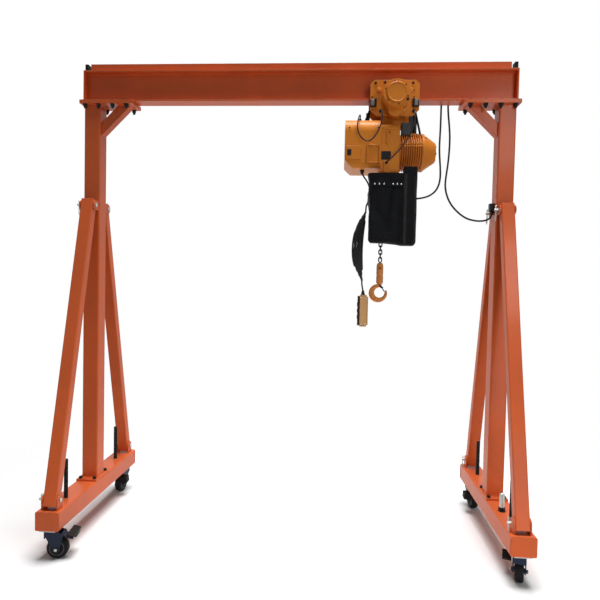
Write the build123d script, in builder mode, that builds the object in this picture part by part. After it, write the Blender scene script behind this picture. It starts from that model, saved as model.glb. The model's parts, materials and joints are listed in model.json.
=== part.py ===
from build123d import *
import os
from math import atan2, cos, degrees, hypot, pi, radians, sin, tan

# Portable gantry crane with a motor trolley and an electric chain hoist.
# Millimetres, X along the beam, Y across it, Z up, origin on the floor under mid-span.

# I-beam and the tube on its top flange
beam_length = 2800
beam_underside = 2810
beam_depth = 200
flange_width = 100
flange_thick = 11
web_thick = 7
root_radius = 9
beam_end_thick = 8
top_tube_width = 50
top_tube_height = 48
top_tube_wall = 3
end_block_length = 20
end_block_gap = 20

# Bolted joint between the beam and each leg
joint_plate_length = 352
joint_plate_width = 160
joint_plate_thick = 12
joint_plate_overhang = 12

# Legs
leg_inset = 62.5
post_size = 106
post_wall = 5
post_corner = 9
foot_plate_width = 136
foot_plate_length = 200
foot_plate_thick = 12
knee_size = 60
knee_wall = 4
knee_drop = 196

# Base beams
base_length = 1150
base_width = 140
base_height = 110
base_wall = 5
base_corner = 8
base_bottom = 182
base_end_thick = 6

# Pinned braces between the posts and the base beams
brace_width = 80
brace_depth = 60
brace_wall = 4
brace_corner = 7
brace_end_margin = 35
brace_top_reach = 94
brace_top_rise = 1818
brace_foot_inset = 57
brace_foot_rise = 53
lug_thick = 8
lug_radius = 30
lug_gap = 1
pin_radius = 8
pin_clearance = 0.3
pin_head_radius = 12
pin_head_thick = 6
pin_tail = 26

# Casters
caster_inset = 60
caster_plate_length = 115
caster_plate_width = 95
caster_plate_thick = 6
housing_radius = 36
housing_height = 10
crown_gap = 0.3
crown_thick = 15
crown_rear = 34
crown_front = 40
kingpin_radius = 8
kingpin_nut_radius = 13
kingpin_nut_thick = 7
running_clearance = 0.05
wheel_radius = 62.5
wheel_width = 48
wheel_rim = 22
wheel_web = 30
hub_radius = 16
hub_gap = 0.3
caster_trail = 35
fork_inside = 60
fork_leg = 6
fork_end_radius = 18
axle_radius = 6
axle_head_radius = 10
axle_head_thick = 7
pedal_pivot_reach = 62
pedal_pivot_drop = 22.7
pedal_pin_radius = 5
pedal_ear_radius = 11
pedal_length = 70
pedal_thick = 6
pedal_width = 52
pedal_tread_edge = 35
pedal_tread_width = 127
pedal_tread_length = 40
caster_turns = {"left_front": 8, "left_rear": -95, "right_front": 70, "right_rear": -85}
pedal_slopes = {"left_front": 15, "left_rear": 15, "right_front": 40, "right_rear": 15}
pedal_sides = {"left_front": 1, "left_rear": 1, "right_front": 1, "right_rear": -1}

# Levelling screws through the base beams
jack_radius = 12.5
jack_inset = 214
jack_above = 240
jack_below = 20
jack_chamfer = 2

# Trolley
trolley_x = 632
trolley_plate_length = 308
trolley_plate_thick = 10
trolley_plate_drop = 105
trolley_plate_rise = 120
trolley_top_chamfer = 25
trolley_foot_chamfer = 40
trolley_side_gap = 12
trolley_wheel_radius = 45
trolley_wheel_width = 34
trolley_wheel_base = 200
trolley_wheel_lift = 0.3
trolley_axle_radius = 12
tie_bar_radius = 16
tie_bar_drop = 65
tie_bar_spacing = 110
drive_radius = 83
drive_depth = 120
drive_cap_radius = 59
drive_cap_depth = 12
drive_lobe_drop = 127
drive_lobe_width = 92
drive_lobe_depth = 70
cable_arm_length = 187
cable_arm_radius = 8
cable_arm_rise = 50
cable_peg_radius = 15.7
cable_peg_length = 36

# Hoist
hanger_gap = 25
hanger_height = 145
hanger_length = 158
hanger_thick = 40
hoist_housing_offset = 84
hoist_housing_length = 116
hoist_housing_width = 270
hoist_housing_height = 320
hoist_housing_corner = 30
hoist_axis_drop = 150
control_box_length = 222
control_box_rise = 40
control_box_height = 312
control_box_width = 280
control_box_corner = 90
control_box_edge = 30
control_box_chamfer = 45
motor_length = 151
motor_radius = 118
bell_length = 85
bell_rim = 14
bell_radius = 112
bell_end_radius = 62

# Chain, hook and chain bag
soft_gap = 0.3
chain_offset = 25
chain_wire = 8
chain_pitch = 24
chain_inside = 11
link_play = 0.6
bag_width = 304
bag_depth = 120
bag_height = 434
bag_offset = -9
bag_chain_gap = 96
bag_corner = 30
hook_drop = 538
hook_block_height = 136
hook_block_radius = 22
hook_block_crown = 6
hook_shank_radius = 11
hook_shank_rise = 26
hook_bowl_radius = 33
hook_bowl_drop = 56
hook_outer_radius = 60
hook_outer_shift = 9
hook_neck_gap = 0.5
hook_thick = 28
hook_edge = 7
hook_mouth_low = 22
hook_mouth_high = 78
latch_pivot_reach = 43
latch_pivot_turn = 88
latch_pin_radius = 3
latch_start_reach = 36
latch_start_turn = 62
latch_end_reach = 30.5
latch_end_turn = 17
latch_thick = 4
latch_ear_thick = 3
latch_ear_height = 12
latch_side_gap = 0.3

# Pendant control and its cable hank
pendant_width = 66
pendant_depth = 58
pendant_height = 202
pendant_corner = 12
pendant_cable_radius = 5
hank_depth = 74
hank_end_width = 26
hank_middle_width = 72
hank_bulge = 79
pendant_feed_points = [
    (440, -52, 2368),
    (440, -52, 2340),
    (472, -52, 2302),
    (490, -52, 2262),
    (491, -52, 2212),
    (482, -52, 2166),
    (470, -52, 2138),
    (470, -52, 2110.3),
]
pendant_tail_points = [
    (456, -52, 1659.7),
    (456, -52, 1636),
    (464, -64, 1600),
    (464, -64, 1573),
]

# Thin leads from the trolley to the hoist
lead_radius = 4
trolley_lead_points = [
    (548, -72, 2735),
    (548, -108, 2735),
    (550, -146, 2706),
    (549, -164, 2650),
    (531, -167, 2590),
    (502, -166, 2543),
    (470, -166, 2521),
    (437, -166, 2530),
    (410, -165, 2565),
    (398, -162, 2608),
    (402, -152, 2654),
    (411, -122, 2693),
    (418, -84, 2708),
    (420, -54, 2708),
    (420, -40, 2698),
    (420, -40, 2680),
]
limit_lead_points = [
    (754, -72, 2735),
    (754, -104, 2735),
    (753, -138, 2704),
    (745, -152, 2630),
    (716, -156, 2552),
    (671, -159, 2484),
    (628, -162, 2438),
    (598, -162, 2410),
    (584, -152, 2398),
    (584, -135, 2398),
]

# Supply cable from the hoist over the trolley's peg to the socket on the right post
cable_radius = 6
supply_cable_points = [
    (640, 40, 2320),
    (640, 40, 2268),
    (680, 44, 2220),
    (748, 46, 2204),
    (830, 50, 2210),
    (885, 54, 2226),
    (930, 57, 2262),
    (953, 60, 2320),
    (955, 64, 2399),
    (943, 70, 2530),
    (949, 76, 2661),
    (951, 84, 2790),
    (951, 84, 2882),
    (995, 84, 2882),
    (995, 84, 2790),
    (1006, 74, 2680),
    (1011, 70, 2595),
    (1005, 64, 2464),
    (989, 58, 2346),
    (985, 54, 2293),
    (994, 50, 2238),
    (1016, 46, 2184),
    (1055, 40, 2132),
    (1112, 30, 2084),
    (1165, 20, 2066),
    (1215, 10, 2062),
    (1255, 3, 2072),
    (1273.5, 0, 2096),
    (1273.5, 0, 2122),
]
supply_cable_tight = {12: 21.9, 13: 21.9}
socket_depth = 28
socket_width = 40
socket_height = 50
cord_arc_share = 0.45

os.makedirs("parts", exist_ok=True)

beam_top = beam_underside + beam_depth
beam_half = beam_length / 2
joint_plate_outer = beam_half + joint_plate_overhang
joint_plate_centre = joint_plate_outer - joint_plate_length / 2
leg_plate_top = beam_underside - joint_plate_thick
post_top = leg_plate_top - joint_plate_thick
base_top = base_bottom + base_height
post_bottom = base_top + foot_plate_thick
leg_x = beam_half - leg_inset
post_inner = leg_x - post_size / 2
brace_top_height = post_bottom + brace_top_rise
leg_sides = {"left": -leg_x, "right": leg_x}
base_ends = {"front": -1, "rear": 1}


# Rolled I-beam: two flanges, a web and the root radius between them
with BuildPart() as main_beam:
    with BuildSketch(Plane.YZ) as beam_section:
        with Locations((0, beam_underside + beam_depth / 2)):
            Rectangle(web_thick, beam_depth)
        with Locations((0, beam_underside + flange_thick / 2), (0, beam_top - flange_thick / 2)):
            Rectangle(flange_width, flange_thick)
        root_corners = beam_section.vertices().filter_by(
            lambda v: abs(v.X) < web_thick and beam_underside + web_thick < v.Y < beam_top - web_thick
        )
        fillet(root_corners, root_radius)
    extrude(amount=beam_half - beam_end_thick, both=True)
main_beam.part.label = "main_beam"
export_step(main_beam.part, "parts/main_beam.step")

# Plates welded over the ends of the I-beam
with BuildPart() as beam_end_plates:
    with Locations(
        (beam_end_thick / 2 - beam_half, 0, beam_underside + beam_depth / 2),
        (beam_half - beam_end_thick / 2, 0, beam_underside + beam_depth / 2),
    ):
        Box(beam_end_thick, flange_width, beam_depth)
beam_end_plates.part.label = "beam_end_plates"
export_step(beam_end_plates.part, "parts/beam_end_plates.step")

# Stiffening tube welded along the top flange
end_block_x = beam_half - end_block_length / 2
top_tube_half = end_block_x - end_block_length / 2 - end_block_gap
with BuildPart() as top_tube:
    with BuildSketch(Plane.YZ):
        with Locations((0, beam_top + top_tube_height / 2)):
            Rectangle(top_tube_width, top_tube_height)
            Rectangle(
                top_tube_width - 2 * top_tube_wall,
                top_tube_height - 2 * top_tube_wall,
                mode=Mode.SUBTRACT,
            )
    extrude(amount=top_tube_half, both=True)
top_tube.part.label = "top_tube"
export_step(top_tube.part, "parts/top_tube.step")

# Rubber blocks on the top flange beyond each end of the tube
with BuildPart() as beam_end_blocks:
    with Locations(
        (-end_block_x, 0, beam_top + top_tube_height / 2),
        (end_block_x, 0, beam_top + top_tube_height / 2),
    ):
        Box(end_block_length, top_tube_width, top_tube_height)
beam_end_blocks.part.label = "beam_end_blocks"
export_step(beam_end_blocks.part, "parts/beam_end_blocks.step")

# Pads welded under the beam for the leg joints
with BuildPart() as beam_pads:
    with Locations(
        (-joint_plate_centre, 0, beam_underside - joint_plate_thick / 2),
        (joint_plate_centre, 0, beam_underside - joint_plate_thick / 2),
    ):
        Box(joint_plate_length, joint_plate_width, joint_plate_thick)
beam_pads.part.label = "beam_pads"
export_step(beam_pads.part, "parts/beam_pads.step")

# Square tube posts
for side, x in leg_sides.items():
    with BuildPart() as post:
        with BuildSketch(Plane.XY.offset(post_bottom)):
            with Locations((x, 0)):
                RectangleRounded(post_size, post_size, post_corner)
                RectangleRounded(
                    post_size - 2 * post_wall,
                    post_size - 2 * post_wall,
                    post_corner - post_wall,
                    mode=Mode.SUBTRACT,
                )
        extrude(amount=post_top - post_bottom)
    post.part.label = f"{side}_post"
    export_step(post.part, f"parts/{side}_post.step")

# Plates welded to the posts: one under each beam pad, one bolted to each base beam
with BuildPart() as post_end_plates:
    with Locations(
        (-joint_plate_centre, 0, leg_plate_top - joint_plate_thick / 2),
        (joint_plate_centre, 0, leg_plate_top - joint_plate_thick / 2),
    ):
        Box(joint_plate_length, joint_plate_width, joint_plate_thick)
    with Locations(*[(x, 0, base_top + foot_plate_thick / 2) for x in leg_sides.values()]):
        Box(foot_plate_width, foot_plate_length, foot_plate_thick)
post_end_plates.part.label = "post_end_plates"
export_step(post_end_plates.part, "parts/post_end_plates.step")

# Knee braces: square tube at 45 degrees between the post and the leg's top plate
knee_rise = knee_size / sin(pi / 4)
knee_wall_rise = knee_wall / sin(pi / 4)
knee_low = post_top - knee_drop
with BuildPart() as knee_braces:
    for hand in (-1, 1):
        for grow, mode, depth in (
            (0, Mode.ADD, knee_size),
            (knee_wall_rise, Mode.SUBTRACT, knee_size - 2 * knee_wall),
        ):
            with BuildSketch(Plane.XZ):
                with BuildLine():
                    Polyline(
                        (hand * post_inner, knee_low + grow),
                        (hand * (post_inner - knee_drop + grow), post_top),
                        (hand * (post_inner - knee_drop + knee_rise - grow), post_top),
                        (hand * post_inner, knee_low + knee_rise - grow),
                        close=True,
                    )
                make_face()
            extrude(amount=depth / 2, both=True, mode=mode)
knee_braces.part.label = "knee_braces"
export_step(knee_braces.part, "parts/knee_braces.step")

# Base beams: rectangular tube with the levelling screws' holes through top and bottom
base_tube_length = base_length - 2 * base_end_thick
jack_y = base_length / 2 - jack_inset
for side, x in leg_sides.items():
    with BuildPart() as base_beam:
        with BuildSketch(Plane.XZ):
            with Locations((x, base_bottom + base_height / 2)):
                RectangleRounded(base_width, base_height, base_corner)
                RectangleRounded(
                    base_width - 2 * base_wall,
                    base_height - 2 * base_wall,
                    base_corner - base_wall,
                    mode=Mode.SUBTRACT,
                )
        extrude(amount=base_tube_length / 2, both=True)
        with Locations((x, -jack_y, base_top), (x, jack_y, base_top)):
            Hole(jack_radius + running_clearance)
    base_beam.part.label = f"{side}_base_beam"
    export_step(base_beam.part, f"parts/{side}_base_beam.step")

# Plates welded over the base beams' ends
with BuildPart() as base_end_plates:
    with BuildSketch(Plane.XZ):
        with Locations(*[(x, base_bottom + base_height / 2) for x in leg_sides.values()]):
            RectangleRounded(base_width, base_height, base_corner)
    extrude(amount=base_length / 2, both=True)
    with BuildSketch(Plane.XZ):
        with Locations(*[(x, base_bottom + base_height / 2) for x in leg_sides.values()]):
            Rectangle(2 * base_width, 2 * base_height)
    extrude(amount=base_tube_length / 2, both=True, mode=Mode.SUBTRACT)
base_end_plates.part.label = "base_end_plates"
export_step(base_end_plates.part, "parts/base_end_plates.step")

# Braces from the post's lugs to the lugs near the ends of the base beam
brace_foot_reach = base_length / 2 - brace_foot_inset
brace_foot_height = base_top + brace_foot_rise
brace_run = brace_foot_reach - brace_top_reach
brace_fall = brace_top_height - brace_foot_height
brace_lean = atan2(brace_run, brace_fall)
brace_length = hypot(brace_run, brace_fall) + 2 * brace_end_margin
pin_hole_radius = pin_radius + pin_clearance
for side, x in leg_sides.items():
    with BuildPart() as braces:
        for end in base_ends.values():
            foot = (
                x,
                end * (brace_foot_reach + brace_end_margin * sin(brace_lean)),
                brace_foot_height - brace_end_margin * cos(brace_lean),
            )
            along = (0, -end * sin(brace_lean), cos(brace_lean))
            with BuildSketch(Plane(origin=foot, x_dir=(1, 0, 0), z_dir=along)):
                RectangleRounded(brace_width, brace_depth, brace_corner)
                RectangleRounded(
                    brace_width - 2 * brace_wall,
                    brace_depth - 2 * brace_wall,
                    brace_corner - brace_wall,
                    mode=Mode.SUBTRACT,
                )
            extrude(amount=brace_length)
            with BuildSketch(Plane.YZ.offset(x)):
                with Locations(
                    (end * brace_top_reach, brace_top_height),
                    (end * brace_foot_reach, brace_foot_height),
                ):
                    Circle(pin_hole_radius)
            extrude(amount=brace_width, both=True, mode=Mode.SUBTRACT)
    braces.part.label = f"{side}_braces"
    export_step(braces.part, f"parts/{side}_braces.step")

# Lug pairs on the posts and on the base beams
lug_offset = brace_width / 2 + lug_gap + lug_thick / 2
lug_planes = [
    Plane.YZ.offset(x + hand * lug_offset - lug_thick / 2) for x in leg_sides.values() for hand in (-1, 1)
]
with BuildPart() as brace_lugs:
    for plane in lug_planes:
        with BuildSketch(plane):
            for end in base_ends.values():
                with Locations((end * (post_size / 2 + brace_top_reach) / 2, brace_top_height)):
                    Rectangle(brace_top_reach - post_size / 2, 2 * lug_radius)
                with Locations((end * brace_foot_reach, (base_top + brace_foot_height) / 2)):
                    Rectangle(2 * lug_radius, brace_foot_rise)
                with Locations(
                    (end * brace_top_reach, brace_top_height),
                    (end * brace_foot_reach, brace_foot_height),
                ):
                    Circle(lug_radius)
                    Circle(pin_hole_radius, mode=Mode.SUBTRACT)
            Rectangle(post_size, 2 * beam_top, mode=Mode.SUBTRACT)
        extrude(amount=lug_thick)
brace_lugs.part.label = "brace_lugs"
export_step(brace_lugs.part, "parts/brace_lugs.step")

# Clevis pins with a head on the right and a tail for the spring clip on the left
pin_half = brace_width / 2 + lug_gap + lug_thick
with BuildPart() as brace_pins:
    for x in leg_sides.values():
        pin_places = [
            (end * reach, height)
            for end in base_ends.values()
            for reach, height in (
                (brace_top_reach, brace_top_height),
                (brace_foot_reach, brace_foot_height),
            )
        ]
        with BuildSketch(Plane.YZ.offset(x + pin_half + pin_clearance)):
            with Locations(*pin_places):
                Circle(pin_radius)
        extrude(amount=-2 * pin_half - pin_clearance - pin_tail)
        with BuildSketch(Plane.YZ.offset(x + pin_half + pin_clearance)):
            with Locations(*pin_places):
                Circle(pin_head_radius)
        extrude(amount=pin_head_thick)
brace_pins.part.label = "brace_pins"
export_step(brace_pins.part, "parts/brace_pins.step")

# Caster mounting plates with their ball housings and kingpins
caster_y = base_length / 2 - caster_inset
caster_places = {
    f"{side}_{name}": (x, end * caster_y) for side, x in leg_sides.items() for name, end in base_ends.items()
}
housing_bottom = base_bottom - caster_plate_thick - housing_height
crown_top = housing_bottom - crown_gap
crown_bottom = crown_top - crown_thick
pedal_pivot_height = crown_top - pedal_pivot_drop
with BuildPart() as caster_plates:
    with Locations(*[(x, y, base_bottom - caster_plate_thick / 2) for x, y in caster_places.values()]):
        Box(caster_plate_width, caster_plate_length, caster_plate_thick)
    for level, radius, drop in (
        (base_bottom - caster_plate_thick, housing_radius, housing_height),
        (housing_bottom, kingpin_radius, crown_thick + 2 * crown_gap),
        (crown_bottom - crown_gap, kingpin_nut_radius, kingpin_nut_thick),
    ):
        with BuildSketch(Plane.XY.offset(level)):
            with Locations(*caster_places.values()):
                Circle(radius)
        extrude(amount=-drop)
caster_plates.part.label = "caster_plates"
export_step(caster_plates.part, "parts/caster_plates.step")

# Casters: fork with its axle bolt, wheel, and brake pedal with a tread that reaches out to one side
fork_half = fork_inside / 2
axle_half = fork_half + fork_leg + pin_clearance
for name, (x, y) in caster_places.items():
    turn = radians(caster_turns[name])
    trail_dir = Vector(cos(turn), sin(turn), 0)
    axle_dir = Vector(sin(turn), -cos(turn), 0)
    side_plane = Plane(origin=(x, y, 0), x_dir=trail_dir, z_dir=axle_dir)

    with BuildPart() as fork:
        for start in (-fork_half - fork_leg, fork_half):
            with BuildSketch(side_plane.offset(start)):
                with BuildLine():
                    Polyline(
                        (-crown_rear, crown_top),
                        (crown_front, crown_top),
                        (pedal_pivot_reach + pedal_ear_radius, pedal_pivot_height),
                        (caster_trail + fork_end_radius, wheel_radius),
                        (caster_trail - fork_end_radius, wheel_radius),
                        (-crown_rear, crown_bottom),
                        close=True,
                    )
                make_face()
                with Locations((caster_trail, wheel_radius)):
                    Circle(fork_end_radius)
                with Locations((pedal_pivot_reach, pedal_pivot_height)):
                    Circle(pedal_ear_radius)
                    Circle(pedal_pin_radius + running_clearance, mode=Mode.SUBTRACT)
                with Locations((caster_trail, wheel_radius)):
                    Circle(axle_radius + pin_clearance, mode=Mode.SUBTRACT)
            extrude(amount=fork_leg)
        with BuildSketch(side_plane):
            with BuildLine():
                Polyline(
                    (-crown_rear, crown_top),
                    (crown_front, crown_top),
                    (crown_front, crown_bottom),
                    (-crown_rear, crown_bottom),
                    close=True,
                )
            make_face()
        extrude(amount=fork_half, both=True)
        with BuildSketch(Plane.XY.offset(crown_top)):
            with Locations((x, y)):
                Circle(kingpin_radius + running_clearance)
        extrude(amount=-crown_thick, mode=Mode.SUBTRACT)
        with BuildSketch(side_plane):
            with Locations((caster_trail, wheel_radius)):
                Circle(axle_radius)
        extrude(amount=axle_half + axle_head_thick, both=True)
        for start, amount in ((axle_half, axle_head_thick), (-axle_half, -axle_head_thick)):
            with BuildSketch(side_plane.offset(start)):
                with Locations((caster_trail, wheel_radius)):
                    RegularPolygon(axle_head_radius, 6)
            extrude(amount=amount)
    fork.part.label = f"{name}_caster_fork"
    export_step(fork.part, f"parts/{name}_caster_fork.step")

    spin_plane = Plane(
        origin=Vector(x, y, wheel_radius) + trail_dir * caster_trail, x_dir=trail_dir, z_dir=(0, 0, 1)
    )
    hub_half = fork_half - hub_gap
    with BuildPart() as wheel:
        with BuildSketch(spin_plane):
            with BuildLine():
                Polyline(
                    (axle_radius + running_clearance, -hub_half),
                    (hub_radius, -hub_half),
                    (hub_radius, -wheel_web / 2),
                    (wheel_radius - wheel_rim, -wheel_web / 2),
                    (wheel_radius - wheel_rim, -wheel_width / 2),
                    (wheel_radius, -wheel_width / 2),
                    (wheel_radius, wheel_width / 2),
                    (wheel_radius - wheel_rim, wheel_width / 2),
                    (wheel_radius - wheel_rim, wheel_web / 2),
                    (hub_radius, wheel_web / 2),
                    (hub_radius, hub_half),
                    (axle_radius + running_clearance, hub_half),
                    close=True,
                )
            make_face()
        revolve(axis=Axis(spin_plane.origin, spin_plane.y_dir))
    wheel.part.label = f"{name}_caster_wheel"
    export_step(wheel.part, f"parts/{name}_caster_wheel.step")

    pedal_lean = radians(pedal_slopes[name])
    pedal_plane = Plane(
        origin=Vector(x, y, pedal_pivot_height) + trail_dir * pedal_pivot_reach,
        x_dir=trail_dir * cos(pedal_lean) - Vector(0, 0, sin(pedal_lean)),
        z_dir=axle_dir,
    )
    with BuildPart() as pedal:
        with BuildSketch(pedal_plane):
            with Locations((pedal_length / 2, 0)):
                Rectangle(pedal_length, pedal_thick)
            Circle(pedal_ear_radius - running_clearance)
        extrude(amount=pedal_width / 2, both=True)
        with BuildSketch(pedal_plane.offset(pedal_sides[name] * pedal_tread_edge)):
            with Locations((pedal_length - pedal_tread_length / 2, 0)):
                Rectangle(pedal_tread_length, pedal_thick)
        extrude(amount=-pedal_sides[name] * pedal_tread_width)
        with BuildSketch(pedal_plane):
            Circle(pedal_pin_radius)
        extrude(amount=fork_half + fork_leg, both=True)
    pedal.part.label = f"{name}_brake_pedal"
    export_step(pedal.part, f"parts/{name}_brake_pedal.step")

# Levelling screws
for side, x in leg_sides.items():
    for end_name, end in base_ends.items():
        with BuildPart() as jack:
            with BuildSketch(Plane.XY.offset(base_bottom - jack_below)):
                with Locations((x, end * jack_y)):
                    Circle(jack_radius)
            extrude(amount=jack_below + base_height + jack_above)
            chamfer(jack.edges().filter_by(GeomType.CIRCLE), jack_chamfer)
        jack.part.label = f"{side}_{end_name}_jack_screw"
        export_step(jack.part, f"parts/{side}_{end_name}_jack_screw.step")

# Trolley side plates with chamfered corners
trolley_inner = flange_width / 2 + trolley_side_gap
trolley_outer = trolley_inner + trolley_plate_thick
wheel_axle_height = beam_underside + flange_thick + trolley_wheel_radius + trolley_wheel_lift
trolley_wheel_xs = (trolley_x - trolley_wheel_base / 2, trolley_x + trolley_wheel_base / 2)
tie_bar_xs = (trolley_x - tie_bar_spacing / 2, trolley_x + tie_bar_spacing / 2)
trolley_plate_middle = beam_underside + (trolley_plate_rise - trolley_plate_drop) / 2
tie_bar_height = beam_underside - tie_bar_drop
with BuildPart() as trolley_plates:
    for start in (-trolley_outer, trolley_inner):
        with BuildSketch(Plane.XZ.offset(-start)) as plate_outline:
            with Locations((trolley_x, trolley_plate_middle)):
                Rectangle(trolley_plate_length, trolley_plate_rise + trolley_plate_drop)
            chamfer(plate_outline.vertices().group_by(Axis.Y)[-1], trolley_top_chamfer)
            chamfer(plate_outline.vertices().group_by(Axis.Y)[0], trolley_foot_chamfer)
            with Locations(*[(wx, wheel_axle_height) for wx in trolley_wheel_xs]):
                Circle(trolley_axle_radius + pin_clearance, mode=Mode.SUBTRACT)
            with Locations(*[(bx, tie_bar_height) for bx in tie_bar_xs]):
                Circle(tie_bar_radius + pin_clearance, mode=Mode.SUBTRACT)
        extrude(amount=-trolley_plate_thick)
trolley_plates.part.label = "trolley_plates"
export_step(trolley_plates.part, "parts/trolley_plates.step")

# Trolley wheels on stub axles, running on the lower flange
wheel_inner_y = trolley_inner - trolley_wheel_width - hub_gap
with BuildPart() as trolley_wheels:
    for hand in (-1, 1):
        with BuildSketch(Plane.XZ.offset(-hand * wheel_inner_y)):
            with Locations(*[(wx, wheel_axle_height) for wx in trolley_wheel_xs]):
                Circle(trolley_wheel_radius)
        extrude(amount=-hand * trolley_wheel_width)
        with BuildSketch(Plane.XZ.offset(-hand * (wheel_inner_y + trolley_wheel_width))):
            with Locations(*[(wx, wheel_axle_height) for wx in trolley_wheel_xs]):
                Circle(trolley_axle_radius)
        extrude(amount=-hand * (trolley_plate_thick + hub_gap))
trolley_wheels.part.label = "trolley_wheels"
export_step(trolley_wheels.part, "parts/trolley_wheels.step")

# Tie bars through both side plates
with BuildPart() as trolley_tie_bars:
    with BuildSketch(Plane.XZ):
        with Locations(*[(bx, tie_bar_height) for bx in tie_bar_xs]):
            Circle(tie_bar_radius)
    extrude(amount=trolley_outer, both=True)
trolley_tie_bars.part.label = "trolley_tie_bars"
export_step(trolley_tie_bars.part, "parts/trolley_tie_bars.step")

# Travel drive on the front plate: motor end, cap and the gear lobe below
drive_lobe_fall = drive_lobe_drop - drive_lobe_width / 2
with BuildPart() as trolley_drive:
    with BuildSketch(Plane.XZ.offset(trolley_outer)):
        with Locations((trolley_x, beam_underside)):
            Circle(drive_radius)
    extrude(amount=drive_depth)
    with BuildSketch(Plane.XZ.offset(trolley_outer + drive_depth)):
        with Locations((trolley_x, beam_underside)):
            Circle(drive_cap_radius)
    extrude(amount=drive_cap_depth)
    with BuildSketch(Plane.XZ.offset(trolley_outer)):
        with Locations((trolley_x, beam_underside - drive_lobe_fall / 2)):
            Rectangle(drive_lobe_width, drive_lobe_fall)
        with Locations((trolley_x, beam_underside - drive_lobe_fall)):
            Circle(drive_lobe_width / 2)
    extrude(amount=drive_lobe_depth)
trolley_drive.part.label = "trolley_drive"
export_step(trolley_drive.part, "parts/trolley_drive.step")

# Arm on the rear plate with a peg that the supply cable hangs over
arm_x = trolley_x + trolley_plate_length / 2
arm_y = trolley_inner + trolley_plate_thick / 2
cable_arm_height = beam_underside + cable_arm_rise
with BuildPart() as cable_arm:
    with BuildSketch(Plane.YZ.offset(arm_x)):
        with Locations((arm_y, cable_arm_height)):
            Circle(cable_arm_radius)
    extrude(amount=cable_arm_length)
    with BuildSketch(Plane.XZ.offset(-arm_y + cable_arm_radius)):
        with Locations((arm_x + cable_arm_length, cable_arm_height)):
            Circle(cable_peg_radius)
    extrude(amount=-cable_peg_length)
cable_arm.part.label = "cable_arm"
export_step(cable_arm.part, "parts/cable_arm.step")

# Hoist hanger between the tie bars and the hoist
hanger_top = beam_underside - hanger_gap
hanger_bottom = hanger_top - hanger_height
with BuildPart() as hoist_hanger:
    with BuildSketch(Plane.XZ):
        with Locations((trolley_x, hanger_top - hanger_height / 2)):
            Rectangle(hanger_length, hanger_height)
        with Locations(*[(bx, tie_bar_height) for bx in tie_bar_xs]):
            Circle(tie_bar_radius + pin_clearance, mode=Mode.SUBTRACT)
    extrude(amount=hanger_thick / 2, both=True)
hoist_hanger.part.label = "hoist_hanger"
export_step(hoist_hanger.part, "parts/hoist_hanger.step")

# Hoist gear housing
hoist_housing_bottom = hanger_bottom - hoist_housing_height
hoist_housing_start = trolley_x - hoist_housing_offset
hoist_housing_end = hoist_housing_start + hoist_housing_length
with BuildPart() as hoist_housing:
    with BuildSketch(Plane.YZ.offset(hoist_housing_start)):
        with Locations((0, hanger_bottom - hoist_housing_height / 2)):
            RectangleRounded(hoist_housing_width, hoist_housing_height, hoist_housing_corner)
    extrude(amount=hoist_housing_length)
hoist_housing.part.label = "hoist_housing"
export_step(hoist_housing.part, "parts/hoist_housing.step")

# Electric control box with a rounded top and a bevelled lower end
control_box_start = hoist_housing_start - control_box_length
control_box_top = hanger_bottom + control_box_rise
control_box_bottom = control_box_top - control_box_height
with BuildPart() as control_box:
    with BuildSketch(Plane.YZ.offset(control_box_start)) as box_section:
        with Locations((0, control_box_top - control_box_height / 2)):
            Rectangle(control_box_width, control_box_height)
        fillet(box_section.vertices().group_by(Axis.Y)[-1], control_box_corner)
        fillet(box_section.vertices().group_by(Axis.Y)[0], control_box_edge)
    extrude(amount=control_box_length)
    with BuildSketch(Plane.XZ):
        with BuildLine():
            Polyline(
                (control_box_start, control_box_bottom),
                (control_box_start + control_box_chamfer, control_box_bottom),
                (control_box_start, control_box_bottom + control_box_chamfer),
                close=True,
            )
        make_face()
    extrude(amount=control_box_width, both=True, mode=Mode.SUBTRACT)
control_box.part.label = "control_box"
export_step(control_box.part, "parts/control_box.step")

# Hoist motor and its end bell
hoist_axis_height = hanger_bottom - hoist_axis_drop
motor_end = hoist_housing_end + motor_length
with BuildPart() as hoist_motor:
    with BuildSketch(Plane.YZ.offset(hoist_housing_end)):
        with Locations((0, hoist_axis_height)):
            Circle(motor_radius)
    extrude(amount=motor_length)
hoist_motor.part.label = "hoist_motor"
export_step(hoist_motor.part, "parts/hoist_motor.step")

with BuildPart() as motor_bell:
    with BuildSketch(Plane.XZ):
        with BuildLine():
            Polyline(
                (motor_end, hoist_axis_height),
                (motor_end, hoist_axis_height + bell_radius),
                (motor_end + bell_rim, hoist_axis_height + bell_radius),
                (motor_end + bell_length, hoist_axis_height + bell_end_radius),
                (motor_end + bell_length, hoist_axis_height),
                close=True,
            )
        make_face()
    revolve(axis=Axis((0, 0, hoist_axis_height), (1, 0, 0)))
motor_bell.part.label = "motor_bell"
export_step(motor_bell.part, "parts/motor_bell.step")

# Chain bag hung under the front of the gear housing
bag_top = hoist_housing_bottom - soft_gap
with BuildPart() as chain_bag:
    with BuildSketch(Plane.XY.offset(bag_top)):
        with Locations((trolley_x + bag_offset, -bag_chain_gap - bag_depth / 2)):
            RectangleRounded(bag_width, bag_depth, bag_corner)
    extrude(amount=-bag_height)
chain_bag.part.label = "chain_bag"
export_step(chain_bag.part, "parts/chain_bag.step")

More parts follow.
